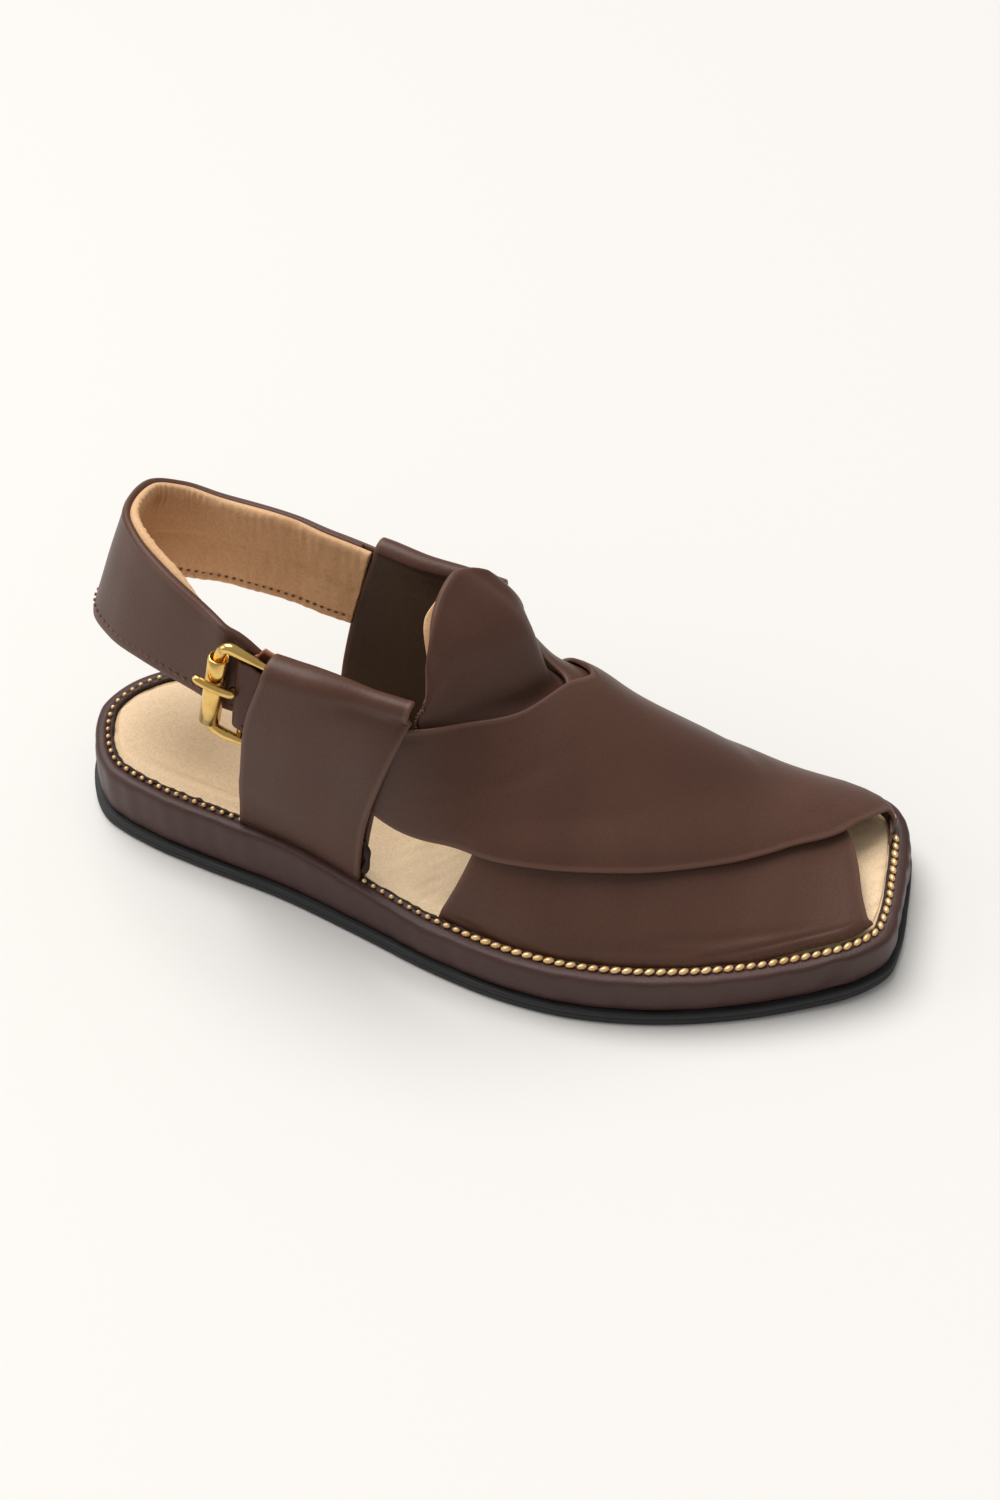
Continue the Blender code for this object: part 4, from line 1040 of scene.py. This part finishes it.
def sole_layer(name, levels, material, replaces, top=None, bottom=None, across=48):
    """A layer of the sole: rings joined up its side, closed by a ruled grid above and below.

    Each level is an array of insets and one of heights round the ring. A cover's points lie
    between the outline's two sides at even shares of the way, and top and bottom give their
    height from x, y and the distances to the two sides.
    """
    half, size = FINE_HALF, 2 * FINE_HALF
    rings = []
    for inset, height in levels:
        xy, _ = fine_ring(inset)
        rings.append(np.column_stack([xy, np.broadcast_to(height, size)]))
    vertices = [np.concatenate(rings)]
    index = np.arange(len(levels) * size).reshape(len(levels), size)
    quads = [ring_quads(index)]
    triangles = []
    count = len(levels) * size
    for level, cover in ((0, bottom), (len(levels) - 1, top)):
        edge = rings[level]
        left, right = edge[1:half], edge[:half:-1]
        share = np.linspace(0, 1, across + 1)[1:-1][None, :, None]
        inner = left[:, None] * (1 - share) + right[:, None] * share
        width = np.linalg.norm(left - right, axis=1)[:, None]
        if cover is not None:
            aside = share[..., 0]
            inner[..., 2] = cover(inner[..., 0], inner[..., 1], width * aside, width * (1 - aside))
        vertices.append(inner.reshape(-1, 3))
        table = np.zeros((half + 1, across + 1), int)
        table[0], table[half] = level * size, level * size + half
        table[1:half, 0] = level * size + np.arange(1, half)
        table[1:half, across] = level * size + np.arange(size - 1, half, -1)
        table[1:half, 1:across] = count + np.arange((half - 1) * (across - 1)).reshape(half - 1, -1)
        count += (half - 1) * (across - 1)
        quads.append(grid_quads(table[1:half]))
        for pole, row in ((table[0, 0], table[1]), (table[half, 0], table[half - 1])):
            triangles.append(np.stack([np.full(across, pole), row[:-1], row[1:]], -1))
    faces = [np.concatenate(quads), np.concatenate(triangles)]
    return put_mesh(name, np.concatenate(vertices), faces, material, replaces)


def make_sole():
    """Outsole with its grooved edge and ribbed tread, wrapped platform and padded insole."""
    ring_xy, _ = fine_ring(0.0)
    x, y = ring_xy.T
    size = len(x)
    ground = floor_line(x)
    side = [
        (np.full(size, inset * OUTSOLE_THICKNESS), ground + up * OUTSOLE_THICKNESS)
        for inset, up in (
            (0.22, 0.0), (0.10, 0.03), (0.02, 0.12), (0.0, 0.24), (0.0, 0.50), (0.015, 0.55),
            (0.09, 0.60), (0.09, 0.62), (0.015, 0.67), (0.0, 0.72), (0.0, 0.84), (0.03, 0.93),
            (0.10, 0.985), (0.22, 1.0), (0.9, 1.0),
        )
    ]

    def tread(px, py, left, right):
        """Ribs across: a rounded square wave, faded to a plain border."""
        wave = np.clip(2.2 * np.sin(2 * np.pi * (px + 0.12 * py) / RIB_PITCH), -1, 1) * 0.5 + 0.5
        border = ease((np.minimum(left, right) - 0.007) / 0.002)
        heel_gap = ease((np.abs(px + 0.052) - 0.012) / 0.003)
        return floor_line(px) + RIB_DEPTH * wave * border * heel_gap

    sole_layer("tread_sole", side, RUBBER, ["outsole"], bottom=tread, across=56)

    rim = platform(x)
    low = ground + OUTSOLE_THICKNESS + GAP
    folds = 0.00022 * waves(x, y, 0 * x, 0.020) + 0.00016 * waves(x, y, 0 * x, 0.009)
    toe = ease((x - 0.105) / 0.03)
    folds = folds * (1 + 1.8 * toe)
    profile = (
        (0.0010, 0.00, 0.0), (0.0002, 0.03, 0.2), (0.0, 0.08, 0.5), (-0.0001, 0.20, 0.9),
        (-0.0002, 0.35, 1.0), (-0.0002, 0.50, 1.0), (-0.0001, 0.65, 1.0), (0.0, 0.78, 0.9),
        (0.0001, 0.87, 0.7), (0.0004, 0.93, 0.5), (0.0009, 0.965, 0.4), (0.0017, 0.985, 0.3),
        (0.0027, 0.990, 0.3), (0.0036, 0.992, 0.2), (0.0041, 0.975, 0.1), (0.0046, 0.965, 0.0),
        (0.0052, 0.975, 0.0), (0.0058, 1.000, 0.0), (0.0062, 0.985, 0.0), (0.0066, 0.90, 0.0),
    )
    levels = []
    for inset, share, wavy in profile:
        height = low + (rim - low) * share + folds * wavy * 0.6 * (share > 0.9)
        levels.append((OUTSOLE_PROUD + inset + folds * wavy, height))
    sole_layer("platform_wrap", levels, WRAP, ["midsole"])

    def pad(px, py, left, right):
        """The insole's top: a soft pad with a pressed groove near its edge and fine wrinkles."""
        near = np.minimum(left, right)
        rise = INSOLE_CROWN * ease(near / 0.030) * 0.7
        puff = 0.0009 * ease(near / 0.004)
        heel = (1 - ease((px + 0.058) / 0.02)) * ease((-py - 0.012) / 0.016)
        groove = GROOVE_DEPTH * np.exp(-((near - GROOVE_INSET) / 0.0013) ** 2) * heel
        edge_roll = 0.0010 * np.exp(-((near - 0.0050) / 0.0022) ** 2) * heel
        gap = ease((px + 0.030) / 0.02)
        wrinkle = (0.00004 + 0.00012 * gap) * waves(px + py, 2.4 * (py - px), 0 * px, 0.015)
        foot = 0.0006 * np.exp(-((px + 0.100) / 0.024) ** 2 - ((py - 0.004) / 0.020) ** 2)
        return platform(px) - 0.0010 + puff + rise - groove + edge_roll + wrinkle * ease(near / 0.006) - foot

    base = RECESS_INSET + 0.0006
    levels = [
        (np.full(size, base + inset), rim - down)
        for inset, down in (
            (0.0, INSOLE_THICKNESS - 0.0006), (0.0, 0.0017), (0.0002, 0.0012), (0.0007, 0.0008),
        )
    ]
    sole_layer("padded_insole", levels, INSOLE_SKIN, ["insole"], top=pad, across=76)


def make_edging():
    """Golden beads along the rim, round at the heel, long and slanted at the front."""
    centre, _ = fine_ring(RIM_WIDTH, EDGE_POINTS)
    x = centre[:, 0]
    rear, front = LATERAL_BAND["rear"][0] * SOLE_LENGTH, LATERAL_BAND["front"][0] * SOLE_LENGTH
    covered = (np.arange(len(x)) < EDGE_POINTS) & (x > rear) & (x < front)
    order = np.roll(np.arange(len(x)), -np.flatnonzero(covered)[-1] - 1)
    order = order[~covered[order]]
    place, along = even_path(np.column_stack([centre[order], platform(x[order])]), BEAD_PITCH)
    keep = np.hypot(*(place[:, :2] - TOE_CORNER).T) > CORNER_ROOM
    front = ease((place[:, 0] + 0.010) / 0.030)
    up = np.tile([0.0, 0.0, 1.0], (len(place), 1))
    slanted = unit(along + unit(np.cross(up, along)) * (0.42 * front)[:, None])
    size = np.array([0.00082, 0.00074, 0.00078]) + front[:, None] * [0.00092, 0.00032, 0.00027]
    size = size * RANDOM.uniform(0.93, 1.07, (len(place), 1))
    place = place + [0, 0, 0.0005]
    beads = (part[keep] for part in (place, slanted, up, size))
    studs("edge_beads", *beads, GOLD_BEAD, "gold_edging", ["edge_cord"])

    seam, inward = (points[order] for points in fine_ring(RIM_WIDTH + 0.0013, EDGE_POINTS))
    sx, sy = seam.T
    wobble = 0.00022 * waves(sx, sy, 0 * sx, 0.006)
    radius = 0.00050 + 0.00016 * waves(sx, sy, 0 * sx, 0.0045)
    angle = np.linspace(0, 2 * np.pi, 8, endpoint=False)[None, :]
    offset = radius[:, None] * np.cos(angle) + wobble[:, None]
    height = platform(sx)[:, None] + 0.0001 + radius[:, None] * np.sin(angle)
    flat = seam[:, None] + inward[:, None] * offset[..., None]
    ring_tube("inner_seam", np.dstack([flat, height]), DARK_SEAM_AND_SHADE)


# ---------------------------------------------------------------- uppers

# How far the straps' and bands' feet are tucked in, the lateral band's slack edges, the points
# up a band and over its fold, and where its lining starts. From there the band's face has the
# dark inner colour: partly its darker lining, partly painted shade inside the band.
STRAP_TUCK = 0.0012
BAND_TUCK = 0.0014
BAND_SAG = 0.0028
BAND_RISE = 70
BAND_TURN = 22
LINED_AND_SHADED_FROM = 88


def creases(run, share, *rows):
    """Several creases on one sheet: where each starts and ends, its width and its depth."""
    return sum(crease(run, share, *row) for row in rows)


def strap_surface(rear, front, along, across):
    """A front strap's middle surface, with its run and share across, and its feet tucked in."""
    run = np.linspace(0.0, 1.0, along)[:, None]
    share = np.linspace(0.0, 1.0, across)[None, :]
    rear_at, rear_round = edge_rows(rear, run)
    front_at, front_round = edge_rows(front, run)
    at = rear_at + (front_at - rear_at) * share
    around = rear_round + (front_round - rear_round) * share
    grid = last(at, around)
    foot = 1 - np.abs(2 * around - 1)
    grid[..., 2] -= STRAP_TUCK * (1 - ease(foot / 0.05))
    return grid, run, share


def make_front_straps():
    """The two crossed front straps, the upper one lying on the lower and standing off it."""
    grid, run, share = strap_surface(UNDER_STRAP_REAR, UNDER_STRAP_FRONT, 210, 110)
    x, y, z = np.moveaxis(grid, -1, 0)
    dent = uneven(grid, 0.00028, 0.045)
    dent = dent + (1 - ease(run / 0.16)) * (0.00014 * waves(x, y * 0.3, z * 4, 0.010))
    dent = dent + creases(
        run, share, ((0.06, 0.30), (0.07, 0.62), 0.018, 0.0005),
        ((0.10, 0.48), (0.11, 0.86), 0.020, 0.0004), ((0.05, 0.66), (0.08, 0.95), 0.014, 0.0004),
    )
    leather(
        "under_strap", grid, STRAP_WALL, BROWN, side=away_from_foot(grid),
        dent=dent, skive=0.25,
    )

    grid, run, share = strap_surface(OVER_STRAP_REAR, OVER_STRAP_FRONT, 240, 120)
    stand = ease((share - STAND_FROM) / STAND_RUN) * ease(run / 0.16) * (1 - ease((run - 0.60) / 0.25))
    lift = STRAP_WALL * (OVER_LIFT + OVER_STAND * stand)
    lift = lift * (1 - ease((run - LIFT_DOWN_FROM) / LIFT_DOWN_OVER))
    lift = lift * ease(LIFT_AT_END + run / LIFT_END_RUN)
    grid = grid + surface_normals(grid) * away_from_foot(grid) * lift[..., None]
    throat = (1 - ease(share / 0.10)) * ease((run - 0.2) / 0.1)
    dent = uneven(grid, 0.00018, 0.050) + 0.00025 * throat
    dent = dent + creases(
        run, share, ((0.62, 0.40), (0.80, 0.60), 0.050, 0.0003),
        ((0.05, 0.35), (0.16, 0.70), 0.025, 0.0004),
    )
    leather(
        "over_strap", grid, STRAP_WALL, BROWN, ["upper"], side=away_from_foot(grid),
        dent=dent, skive=0.3,
    )


def away_from_foot(grid):
    """1 or -1, to turn a strap's normals away from the foot's middle."""
    return facing(grid, grid - [grid[..., 0].mean(), 0.0, 0.0])


def band_sheet(table, tops, side, sleeve_rear, foot_shift, length):
    """A side band's middle: up outside, over a half circle and down inside, as in the solids."""
    share = np.linspace(0.0, 1.0, length)[:, None]
    climb = np.linspace(0.0, 1.0, BAND_RISE)
    height = np.concatenate([climb, np.ones(BAND_TURN), climb[::-1]])[None, :]
    around = (np.arange(height.size) - BAND_RISE + 1) / (BAND_TURN + 1)
    angle = np.pi * np.clip(around, 0, 1)[None, :]
    narrow = ease((share - 0.25) / 0.5)
    reach = (sleeve_rear + (SLEEVE - sleeve_rear) * narrow + BAND_WALL) / 2
    tops = np.array(tops) - (np.array([sleeve_rear, SLEEVE]) / 2 + BAND_WALL)
    flat = 0 * share * height
    step = 0.02

    def place(up, at):
        """The band's middle surface, at each share of its height and length."""
        return band_place(table, tops, side, up + flat, at + flat)

    middle = place(height, share)
    rising = unit(place(height + step, share) - place(height - step, share))
    near = share * (1 - 2 * step)
    outward = unit(np.cross(place(height, near + 2 * step) - place(height, near), rising) * -side)
    free = ease(height / 0.35)
    reach = BAND_WALL * 0.6 + (reach - BAND_WALL * 0.6) * free
    grid = (
        middle
        + outward * (reach * np.cos(angle) + foot_shift * (1 - free))[..., None]
        + rising * (reach * np.sin(angle))[..., None]
    )
    grid[..., 2] -= BAND_TUCK * (1 - ease(height / 0.06))
    return grid, share, height


def make_bands():
    """The folded side bands, with a softly rolled top and a slack front edge."""
    lateral = (LATERAL_BAND, LATERAL_BAND_TOP, -1, BUCKLE_SLEEVE, LATERAL_FOOT_SHIFT)
    medial = (MEDIAL_BAND, MEDIAL_BAND_TOP, 1, SLEEVE, MEDIAL_FOOT_SHIFT)
    for name, band, node_name in (
        ("lateral_band", lateral, "loop_lateral"), ("medial_band", medial, "loop_medial"),
    ):
        side = band[2]
        grid, share, height = band_sheet(*band, 110)
        if side < 0:
            slack = share * 0.9 * np.sin(np.pi * height ** 1.6)
            grid[..., 0] += BAND_SAG * ((1 - share) * np.sin(np.pi * height) + slack)
        dent = uneven(grid, 0.00024, 0.040)
        # The inner ply's face takes the dark inner colour: partly its darker lining, partly painted shade
        # inside the band.
        leather(
            name, grid, BAND_WALL, BROWN, [node_name],
            side=facing(grid[:, :BAND_RISE], [0, side, 0]), dent=dent, skive=0.1, bead=0.9,
            lined_and_shaded=np.arange(grid.shape[1])[None, :] > LINED_AND_SHADED_FROM,
        )
        foot = grid[:, 0] + [0.0, side * 0.0008, 0.0016]
        thick = 0.00055 + uneven(foot, 0.00012, 0.006)
        ring_tube(name + "_seam", swept(foot, thick, 8, False), DARK_SEAM_AND_SHADE)
    # The lateral band's inner ply curls out at its front foot in the near-black seam colour: partly dark
    # leather, partly painted shade of the gap under the band's front edge.
    front = band_sheet(*lateral, 60)[0][-1]
    curl = front[[1, 5, 9, 13]] + np.array([
        (0.0015, 0.0010, 0.0016), (0.0024, 0.0016, 0.0006), (0.0020, 0.0022, 0.0004),
        (0.0008, 0.0024, 0.0006),
    ])
    at = np.linspace(0, 3, 24)
    curl = follow_points(np.arange(4.0), curl, at)
    thick = 0.0012 + 0.00025 * np.sin(at * 4.0) - 0.0005 * ease((at - 2.2) / 0.8)
    ring_tube("band_curl", swept(curl, thick, 14, False), DARK_SEAM_AND_SHADE)


TONGUE_LINING_PROUD = 0.0019


def make_tongue_piece():
    """The tongue: brown outside, cream inside, rising from under the throat in an arch."""
    across = np.linspace(-1.0, 1.0, 120)
    knots = TONGUE["across"]

    def value(name):
        return follow(knots, TONGUE[name], across)

    under = STRAP_WALL / 2 + 2 * GAP + TONGUE_WALL / 2
    hidden_at = (value("throat_at") + TONGUE_LAP) * SOLE_LENGTH
    throat = last(value("throat_at") * SOLE_LENGTH, value("throat_round"))
    hidden = last(hidden_at, value("throat_round"))
    ahead = last(hidden_at + 0.002, value("throat_round"))
    beside = last(hidden_at, value("throat_round") + 0.01)
    normal = unit(np.cross(ahead - hidden, beside - hidden))
    edge = np.column_stack([
        value("edge_along") * SOLE_LENGTH, value("edge_across") * BALL_WIDTH,
        value("edge_up") * INSTEP_HEIGHT,
    ])
    throat, hidden = throat - normal * under, hidden - normal * under
    bulge = value("bulge")[:, None] * TONGUE_BULGE * np.array([0.75, 0.0, 0.65])
    rails = np.stack([hidden, throat, (throat + edge) / 2 + bulge, edge])
    places = np.array([-0.4, 0.0, 0.5, 1.0])
    run = np.linspace(-0.4, 1.0, 100)
    grid = np.stack([follow_points(places, rails[:, i], run) for i in range(len(across))])
    dent = uneven(grid, 0.00030, 0.040)
    side = facing(grid[60:90, 50:], [0.8, 0, 0.6])
    leather(
        "tongue_flap", grid, TONGUE_WALL, TONGUE_SKIN, ["tongue"], side=side,
        dent=dent, bead=0.9,
    )
    lateral = across[:, None, None] * np.sign(edge[-1, 1] - edge[0, 1])
    near = np.maximum(0.0, 1 - (1 - run[None, :, None]) / 0.16) ** 2
    seen = ease((lateral + 0.98) / 0.16) * (1 - ease((lateral + 0.46) / 0.25))
    sheet = grid - np.array([1.0, 0.0, 0.0]) * (TONGUE_LINING_PROUD * near * seen)
    sheet = sheet - surface_normals(grid) * side * (TONGUE_WALL / 2 + 0.0002)
    part = (slice(9, -9), slice(66, None))
    leather(
        "tongue_lining", sheet[part], 0.0007, CREAM, side=side, dent=dent[part],
    )


# ---------------------------------------------------------------- heel strap

# The padded lining's puckers: the length they are counted along, their pitch and height. The
# stitches' pitch, length and width, on the strap, its lining and the folded leather.
PUCKERED_LENGTH = 0.330
PUCKER_PITCH = 0.0052
PUCKER_HEIGHT = 0.00085
STRAP_STITCH = (0.0032, 0.0018, 0.0008)
LINING_STITCH = (0.0027, 0.0013, 0.0008)
CHAPE_STITCH = (0.0028, 0.0018, 0.0008)


def make_heel_pieces():
    """The heel strap with its rolled upper edge and stitches, and its padded cream lining."""
    run = np.linspace(0.005, 0.995, 340)[:, None]
    share = np.linspace(0.0, 1.0, 40)[None, :]
    grid = strap_face(run, share) + strap_inward(run, share) * HEEL_STRAP_WALL / 2
    leather(
        "heel_band", grid, HEEL_STRAP_WALL, BROWN, ["heel_strap"],
        side=facing(grid, grid - grid.mean(axis=(0, 1))), dent=uneven(grid, 0.00022, 0.040), skive=0.15,
    )

    edge_run = np.linspace(0.012, 0.95, 320)
    top = strap_face(edge_run, 0.985) + strap_inward(edge_run, 0.985) * (HEEL_STRAP_WALL * 0.75)
    ring_tube("rolled_edge", swept(top, np.full(len(top), 0.0015), 12, False), BROWN)

    low, out = strap_face(edge_run, 0.075), -strap_inward(edge_run, 0.075)
    stitches("strap_stitches", low, out, *STRAP_STITCH, THREAD, "brown_leather")

    length_share = np.linspace(0.0, 1.0, 460)[:, None]
    rows = len(LINING_SECTION["share"])
    fine = np.linspace(0, rows, 72, endpoint=False)
    share, depth = (
        periodic(np.arange(rows + 1), np.append(values, values[0]), fine)[None, :]
        for values in (LINING_SECTION["share"], LINING_SECTION["depth"])
    )
    run = lining_run(length_share, share)
    taper = ease((run - LINING_SPAN[0]) / 0.17)
    share, depth = share * (0.88 + 0.12 * taper), depth * (0.30 + 0.70 * taper)
    inward = strap_inward(run, np.clip(share, 0.0, 1.0))
    middle = strap_face(run, share)
    bend = np.exp(-((run - 0.47) / 0.16) ** 2)
    pucker = np.sin(2 * np.pi * run * PUCKERED_LENGTH / PUCKER_PITCH + 1.6 * np.sin(9 * run))
    pucker = pucker * (0.4 + 0.6 * np.sin(31 * run) ** 2)
    edge = np.exp(-((share - 0.10) / 0.10) ** 2) + np.exp(-((share - 0.92) / 0.10) ** 2)
    soft = ease((depth - 0.35) / 0.3)
    upright = waves(run * PUCKERED_LENGTH, 0 * run, 0.15 * share * PUCKERED_LENGTH, 0.007)
    fold = np.exp(-((share - 0.52 - 0.05 * np.sin(11 * run)) / 0.035) ** 2) * ease((run - 0.40) / 0.1)
    puff = soft * (
        PUCKER_HEIGHT * pucker * edge * (0.12 + bend) + uneven(middle, 0.00030, 0.022)
        + 0.00012 * upright * (1 - 0.5 * bend) - 0.00045 * fold
    )
    seam_line = soft * 0.0009 * np.exp(-((share - 0.10) / 0.018) ** 2)
    rings = middle + inward * (HEEL_STRAP_WALL + GAP + depth * LINING_THICKNESS + puff - seam_line)[..., None]
    lining = ring_tube("padded_lining", rings, CREAM, ["strap_lining"])

    seam_run = np.linspace(LINING_SPAN[0] + 0.01, LINING_SPAN[1] - 0.005, 300)
    inner = strap_inward(seam_run, 0.10)
    seam = strap_face(seam_run, 0.10) + inner * (HEEL_STRAP_WALL + GAP + LINING_THICKNESS - 0.0004)
    stitches("lining_stitches", seam, inner, *LINING_STITCH, CREAM_THREAD, "lining_leather")


# ---------------------------------------------------------------- buckle

# Rows of points up each side of the folded leather.
FOLD_ROWS = 50


def make_buckle_pieces():
    """Frame, rolled sheet-brass roller, round wire prong and the folded leather that holds them."""
    corners = frame_corners()
    steps = 9
    path = rounded(corners, FRAME_ROUND, steps)
    thick = np.full(len(corners), WIRE_DIAMETER / 2)
    thick[list(THIN_CORNERS)] = BAR_DIAMETER / 2
    thick = np.repeat(thick, steps)
    ring_tube("frame_wire", swept(path, thick, 28, True), BRASS, ["buckle_frame"], closed=True)
    low, high = bar_ends()
    bar = swept(np.linspace(low, high, 6), np.full(6, BAR_DIAMETER / 2), 20, False)
    ring_tube("middle_bar", bar, BRASS)

    axis = unit(corners[1] - corners[0])
    middle = (corners[0] + corners[1]) / 2
    radius = ROLLER_DIAMETER / 2
    half = ROLLER_LENGTH / 2
    section = np.array([
        (-half, radius - 0.0004), (-half + 0.0003, radius), (0.0015, radius),
        (0.0018, radius - 0.0002), (0.0021, radius), (half - 0.0003, radius),
        (half, radius - 0.0004), (half, radius - ROLLER_WALL * 0.7), (0.0, radius - ROLLER_WALL * 0.8),
        (-half, radius - ROLLER_WALL * 0.7),
    ])
    rings = swept(middle + axis * section[:, :1], section[:, 1], 48, True, tangent=axis)
    ring_tube("roller", rings, BRASS, ["buckle_roller"], closed=True)

    root = low + (high - low) * PRONG_AT
    reach = (BAR_DIAMETER + PRONG_DIAMETER) / 2 + GAP
    along, tip_up = PRONG_TIP
    across = np.interp(tip_up, corners[:2, 2], corners[:2, 1])
    tip = np.array((along, across - (ROLLER_DIAMETER + PRONG_DIAMETER) / 2 - GAP, tip_up))
    knee = root + (-reach, *PRONG_KNEE)
    key = np.array([
        root + (-reach, PRONG_KNEE[0] * 0.45, 0.0), knee,
        (knee + tip) / 2 + (0.0, -PRONG_BEND, 0.0), tip,
        tip + (tip - knee) * PRONG_OVERHANG + (0.0, PRONG_DROP, 0.0),
    ])
    t = np.linspace(0, 4, 40)
    path = follow_points(np.arange(5.0), key, t)
    thick = PRONG_DIAMETER / 2 * np.interp(t, [0, 0.2, 3.0, 3.8, 4.0], [1.1, 1.15, 1.1, 0.9, 0.55])
    ring_tube("prong", swept(path, thick, 20, False), BRASS, ["buckle_prong"])

    flat_depth = np.linspace(CHAPE["depth"][-1], 0.0, FOLD_ROWS)
    turn = 21
    depth = np.concatenate([flat_depth, np.zeros(turn), flat_depth[::-1]])
    around = np.arange(1, turn + 1) / (turn + 1)
    flank = np.concatenate([np.zeros(FOLD_ROWS), around, np.ones(FOLD_ROWS)])
    top, outside, inside = (
        follow(CHAPE["depth"], CHAPE[name], depth) for name in ("top", "low_outside", "low_inside")
    )
    bottom = outside + (inside - outside) * flank
    up = bottom[:, None] + (top - bottom)[:, None] * np.linspace(0.0, 1.0, 50)[None, :]
    line = low + (high - low) * ((up - low[2]) / (high[2] - low[2]))[..., None]
    bend = BAR_DIAMETER / 2 + BAR_ROOM + CHAPE_WALL / 2
    angle = (np.pi * flank)[:, None]
    x = line[..., 0] + depth[:, None] - bend * np.sin(angle)
    y = wall_across(x, up, -1) - bar_offset() - bend * np.cos(angle)
    grid = np.stack([x, y, up], axis=-1)
    side = facing(grid[:FOLD_ROWS], [0, -1, 0])
    leather(
        "chape_fold", grid, CHAPE_WALL, CHAPE_OUTER, ["chape"], side=side, skive=0.1,
    )
    normal = surface_normals(grid) * side
    part = (slice(-44, None), slice(20, None))
    raised = np.linspace(0.0, 0.0052, 30)[None, :] * ease(np.linspace(0.0, 1.0, 44) / 0.25)[:, None]
    tail = grid[part] + normal[part] * (CHAPE_WALL * 0.9) + raised[..., None] * unit(high - low)
    leather("chape_tail", tail, CHAPE_WALL * 0.8, CHAPE_SKIN, side=side)
    row = (slice(25, FOLD_ROWS), 4)
    outer = grid[row] + normal[row] * CHAPE_WALL / 2
    stitches("chape_stitches", outer, normal[row], *CHAPE_STITCH, THREAD, "brown_leather")


# ---------------------------------------------------------------- studio

# The camera fitted to the photo: its turn and height in radians, what it looks at, how far off
# it is, and its focal length in pixels of the photo.
CAMERA_TURN = 0.324691
CAMERA_LIFT = 0.785398
CAMERA_TARGET = (-0.004866, 0.030215, 0.020)
CAMERA_DISTANCE = 0.892909
SENSOR = 36.0
FOCAL_PIXELS = 2600.0
PHOTO_HEIGHT = 1500.0


def aim(location, target):
    """A turn that points an object's -Z from a place to a target."""
    return (Vector(target) - Vector(location)).to_track_quat("-Z", "Y").to_euler()


def make_studio():
    """The photograph's camera, a pale floor and soft light from the upper left."""
    a, e = CAMERA_TURN, CAMERA_LIFT
    back = Vector((np.sin(a) * np.cos(e), -np.cos(a) * np.cos(e), np.sin(e)))
    right = Vector((np.cos(a), np.sin(a), 0.0))
    up = back.cross(right)
    camera_data = bpy.data.cameras.new("camera")
    camera_data.sensor_width = SENSOR
    camera_data.lens = FOCAL_PIXELS * SENSOR / PHOTO_HEIGHT
    camera_data.clip_end = 50.0
    camera = bpy.data.objects.new("camera", camera_data)
    place = Vector(CAMERA_TARGET) + back * CAMERA_DISTANCE
    matrix = Matrix.Identity(4)
    for i in range(3):
        matrix[i][0], matrix[i][1], matrix[i][2], matrix[i][3] = right[i], up[i], back[i], place[i]
    camera.matrix_world = matrix
    bpy.context.scene.collection.objects.link(camera)
    bpy.context.scene.camera = camera

    floor_mesh = bpy.data.meshes.new("floor")
    s = 6.0
    floor_mesh.from_pydata([(-s, -s, 0), (s, -s, 0), (s, s, 0), (-s, s, 0)], [], [(0, 1, 2, 3)])
    floor = bpy.data.objects.new("floor", floor_mesh)
    bpy.context.scene.collection.objects.link(floor)
    paper, _, shader = principled("pale_paper")
    shader.inputs["Base Color"].default_value = (0.80, 0.788, 0.768, 1.0)
    shader.inputs["Roughness"].default_value = 0.9
    shader.inputs["Specular IOR Level"].default_value = 0.1
    floor_mesh.materials.append(paper)

    world = bpy.data.worlds.new("studio")
    bpy.context.scene.world = world
    world.use_nodes = True
    sky = world.node_tree.nodes["Background"].inputs
    sky["Color"].default_value = (1.0, 0.985, 0.965, 1.0)
    sky["Strength"].default_value = 0.39
    for name, kind, location, size, power, colour in (
        ("soft_sky", "SUN", (-0.38, 0.30, 1.0), 0.8, 2.75, (1.0, 0.985, 0.965)),
        ("side_panel", "AREA", (-1.10, -0.30, 0.60), 0.6, 2.2, (1.0, 0.97, 0.93)),
    ):
        light_data = bpy.data.lights.new(name, kind)
        setattr(light_data, "angle" if kind == "SUN" else "size", size)
        light_data.energy = power
        light_data.color = colour
        light = bpy.data.objects.new(name, light_data)
        light.location = location
        light.rotation_euler = aim(location, (0.0, 0.0, 0.03))
        bpy.context.scene.collection.objects.link(light)
    bpy.context.scene.view_settings.view_transform = "Standard"


make_sole()
make_edging()
make_front_straps()
make_bands()
make_tongue_piece()
make_heel_pieces()
make_buckle_pieces()
make_studio()
